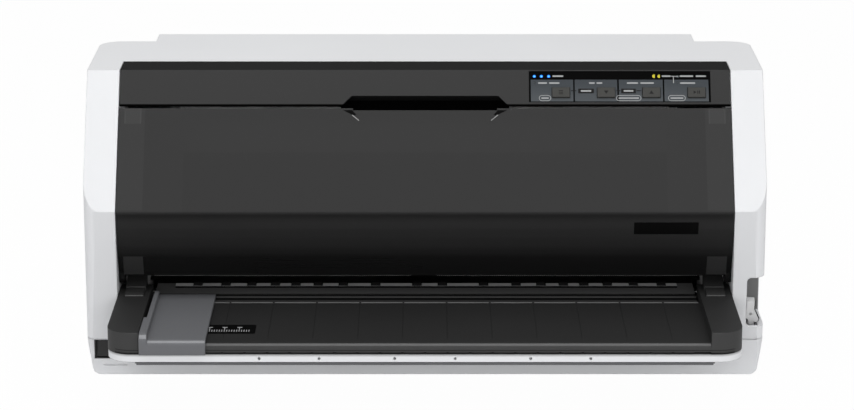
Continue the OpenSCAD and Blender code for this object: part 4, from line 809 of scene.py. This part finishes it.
gripLook = {  # right half, in mm across and up the slope from the bend
    "rib": ((51.8, 71.8), (46.9, 67.6), (46.45, 68.05), (51.35, 72.25)), "ribHigh": 0.3,
    "wedge": ((58.0, 75.6), (51.5, 75.6), (48.6, 72.2), (50.4, 71.7)), "wedgeHigh": 0.15,
    "sunk": -0.05,
}


def makeGripTrim():
    look = gripLook
    # a raised rib at each corner of the notch, painted pale as its highlight, and a dark wedge as painted
    # shadow in the gap at the notch's corner
    ribs, wedges = Trim(slopeFrame), Trim(slopeFrame)
    for side in (-1, 1):
        ribs.plate([(side * u, v) for u, v in look["rib"]], look["sunk"], look["ribHigh"])
        wedges.plate([(side * u, v) for u, v in look["wedge"]], look["sunk"], look["wedgeHigh"])
    ribs.make("cover_grip_rib_highlights", "ribHighlightGrey", "front_cover", "smoked", 0.1)
    wedges.make("cover_grip_shadow_wedges", "labelBlack", "front_cover", "panel_black")


tableFloor = 52.5
rulerLook = {
    "plate": (-152.5, -66.0, -116.4, -45.6), "round": 1.0, "high": 0.1, "sunk": 0.05, "markHigh": 0.16,
    "from": -150.0, "pitch": 1.7, "count": 18, "foot": -61.5, "short": 4.4, "long": 9.0, "wide": 0.6,
    "every": 6, "head": (-1.3, 2.1), "headTall": 1.6,
}


def makeRuler():
    look = rulerLook
    ruler = Trim(bendFrame(tableFloor))
    ruler.plate(roundedBox(*look["plate"], look["round"]), -look["sunk"], look["high"])
    ruler.make("table_ruler", "labelBlack", "case", "table_black")
    marks = Trim(bendFrame(tableFloor))
    foot, low, high = look["foot"], look["sunk"], look["markHigh"]
    for i in range(look["count"]):
        u = look["from"] + i * look["pitch"]
        headed = i % look["every"] == 1
        tip = foot + (look["long"] if headed else look["short"])
        marks.bar(u, foot, u + look["wide"], tip, low, high)
        if headed:
            left, right = look["head"]
            marks.bar(u + left, tip, u + right, tip + look["headTall"], low, high)
    marks.make("table_ruler_marks", "printWhite", "case", "panel_print")


tableEdgeHighlight = {
    "pitch": 30.6, "count": 13, "gap": 1.4, "end": 193.4, "depth": (6.4, 8.1), "height": (-0.1, 0.25),
}


# painted highlight: pale bars along the table's rear edge stand in for the light its rounded edge catches,
# broken at the floor's grooves
def makeTableEdgeHighlight():
    look = tableEdgeHighlight
    edge = Trim(bendFrame(tableFloor))
    half = (look["pitch"] - look["gap"]) / 2
    front, rear = look["depth"]
    for i in range(look["count"]):
        u = (i - (look["count"] - 1) / 2) * look["pitch"]
        edge.bar(max(u - half, -look["end"]), front, min(u + half, look["end"]), rear, *look["height"])
    edge.make("table_edge_trim", "edgeHighlightGrey", "case", "table_black", 0.1)


trayRib = {"end": 196.0, "depth": (-86.6, -84.05), "height": (36.7, 38.6)}


def makeTrayRib():
    rib = Trim(bendFrame())
    end, (front, rear) = trayRib["end"], trayRib["depth"]
    rib.bar(-end, front, end, rear, *trayRib["height"])
    rib.make("tray_shadow_rib", "shadowGrey", "case", "case_white", 0.2)


armCap = {
    "across": (198.2, 211.6),
    "profile": ((-2.5, 59.9), (13.5, 59.9), (13.5, 62.2), (0.5, 62.0), (-2.3, 60.7)),  # depths and heights
}


def makeArmCaps():
    sideways = Matrix(((0, 0, 1, 0), (1, 0, 0, 0), (0, 1, 0, 0), (0, 0, 0, 1)))
    caps = Trim(bendFrame() @ sideways)
    near, far = armCap["across"]
    caps.plate(armCap["profile"], near, far)
    caps.plate(armCap["profile"], -far, -near)
    caps.make("arm_caps", "tableBlack", "case", "table_black", 0.3)


leverEdge = {
    "pivot": (22.0, 14.0), "lean": 19.0, "left": 227.8, "wide": 0.7, "high": (1.2, 2.4),
    "side": ((8.1, 25.5), (8.9, 28.0), (5.3, 36.5), (5.3, 43.2)),
}


def makeLeverEdge():  # the dark line along the plate of the lever, painted shade standing for the shaded slot beside it
    look = leverEdge
    depth, height = look["pivot"]
    turn = Matrix.Rotation(math.radians(90 + look["lean"]), 4, "X")
    edge = Trim(bendFrame(height) @ Matrix.Translation(Vector((look["left"], depth, 0)) * mm) @ turn)
    side = list(look["side"])
    edge.plate(side + [(u + look["wide"], v) for u, v in reversed(side)], *look["high"])
    edge.make("lever_slot_shade", "labelBlack", "release_lever", "lever_grey")


portLook = {  # in mm from the lower left rear edge of the ports, and from the lower right rear edge
    "tongue": ((6, -15, 6), (52, -3, 9)), "squareTongue": ((-8.6, -13, 4), (-3.4, -3, 7)),
    "pin": ((8, -14, 5.7), (9.1, -3.4, 9.3)), "pinPitch": 2.45, "pins": 18,
}


def makePortContacts():
    look = portLook
    low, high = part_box("interface_ports")
    left, right, rear, foot = low.x / mm, high.x / mm, high.y / mm - bend, low.z / mm
    trim, pins = Trim(bendFrame()), Trim(bendFrame())

    def block(piece, corners, start):
        (x0, y0, z0), (x1, y1, z1) = corners
        piece.bar(start + x0, rear + y0, start + x1, rear + y1, foot + z0, foot + z1)

    block(trim, look["tongue"], left)
    block(trim, look["squareTongue"], right)
    for i in range(look["pins"]):
        block(pins, look["pin"], left + i * look["pinPitch"])
    trim.make("port_tongues", "switchBlack", "case", "switch_black", 0.2)
    pins.make("port_contacts", "contactGold", "case", "head_metal")


print("panel prints and button marks")
makePrints()
makeButtonMarks()
print("cover, table and port trim")
makeCoverLabel()
makeCoverTeeth()
makeGripTrim()
makeRuler()
makeTableEdgeHighlight()
makeTrayRib()
makeArmCaps()
makeLeverEdge()
makePortContacts()


def makeFloor():
    graph = Graph(bpy.data.materials.new("floorPaper"))
    plain = graph.principled(colour=studio["floorColour"], rough=0.9, shine=0.0)
    white = graph.add("ShaderNodeEmission", inputs={"Color": (1, 1, 1, 1), "Strength": 1.0})
    paper = graph.finish(graph.mixShader(graph.backdrop() * studio["floorWhite"], plain, white))
    mesh = bpy.data.meshes.new("floor")
    form = bmesh.new()
    bmesh.ops.create_grid(form, x_segments=8, y_segments=8, size=studio["floorSize"])
    form.to_mesh(mesh)
    form.free()
    mesh.materials.append(paper)
    floor = bpy.data.objects.new("floor", mesh)
    floor.location.z = -studio["floorDrop"]
    bpy.context.scene.collection.objects.link(floor)


def makeWorld():
    world = bpy.data.worlds.new("studioWorld")
    bpy.context.scene.world = world
    graph = Graph(world)
    strength = graph.add("ShaderNodeMapRange", inputs={
        "Value": graph.backdrop(), "To Min": studio["worldStrength"], "To Max": 1.0})
    light = graph.add("ShaderNodeBackground", inputs={"Color": (1, 1, 1, 1), "Strength": strength})
    graph.finish(light, "ShaderNodeOutputWorld")


print("studio")
makeCamera()
makeWorld()
makeFloor()
for lampName, lamp in studio["lamps"].items():
    makeLamp(lampName, **lamp)
bpy.context.scene.view_settings.view_transform = "Standard"
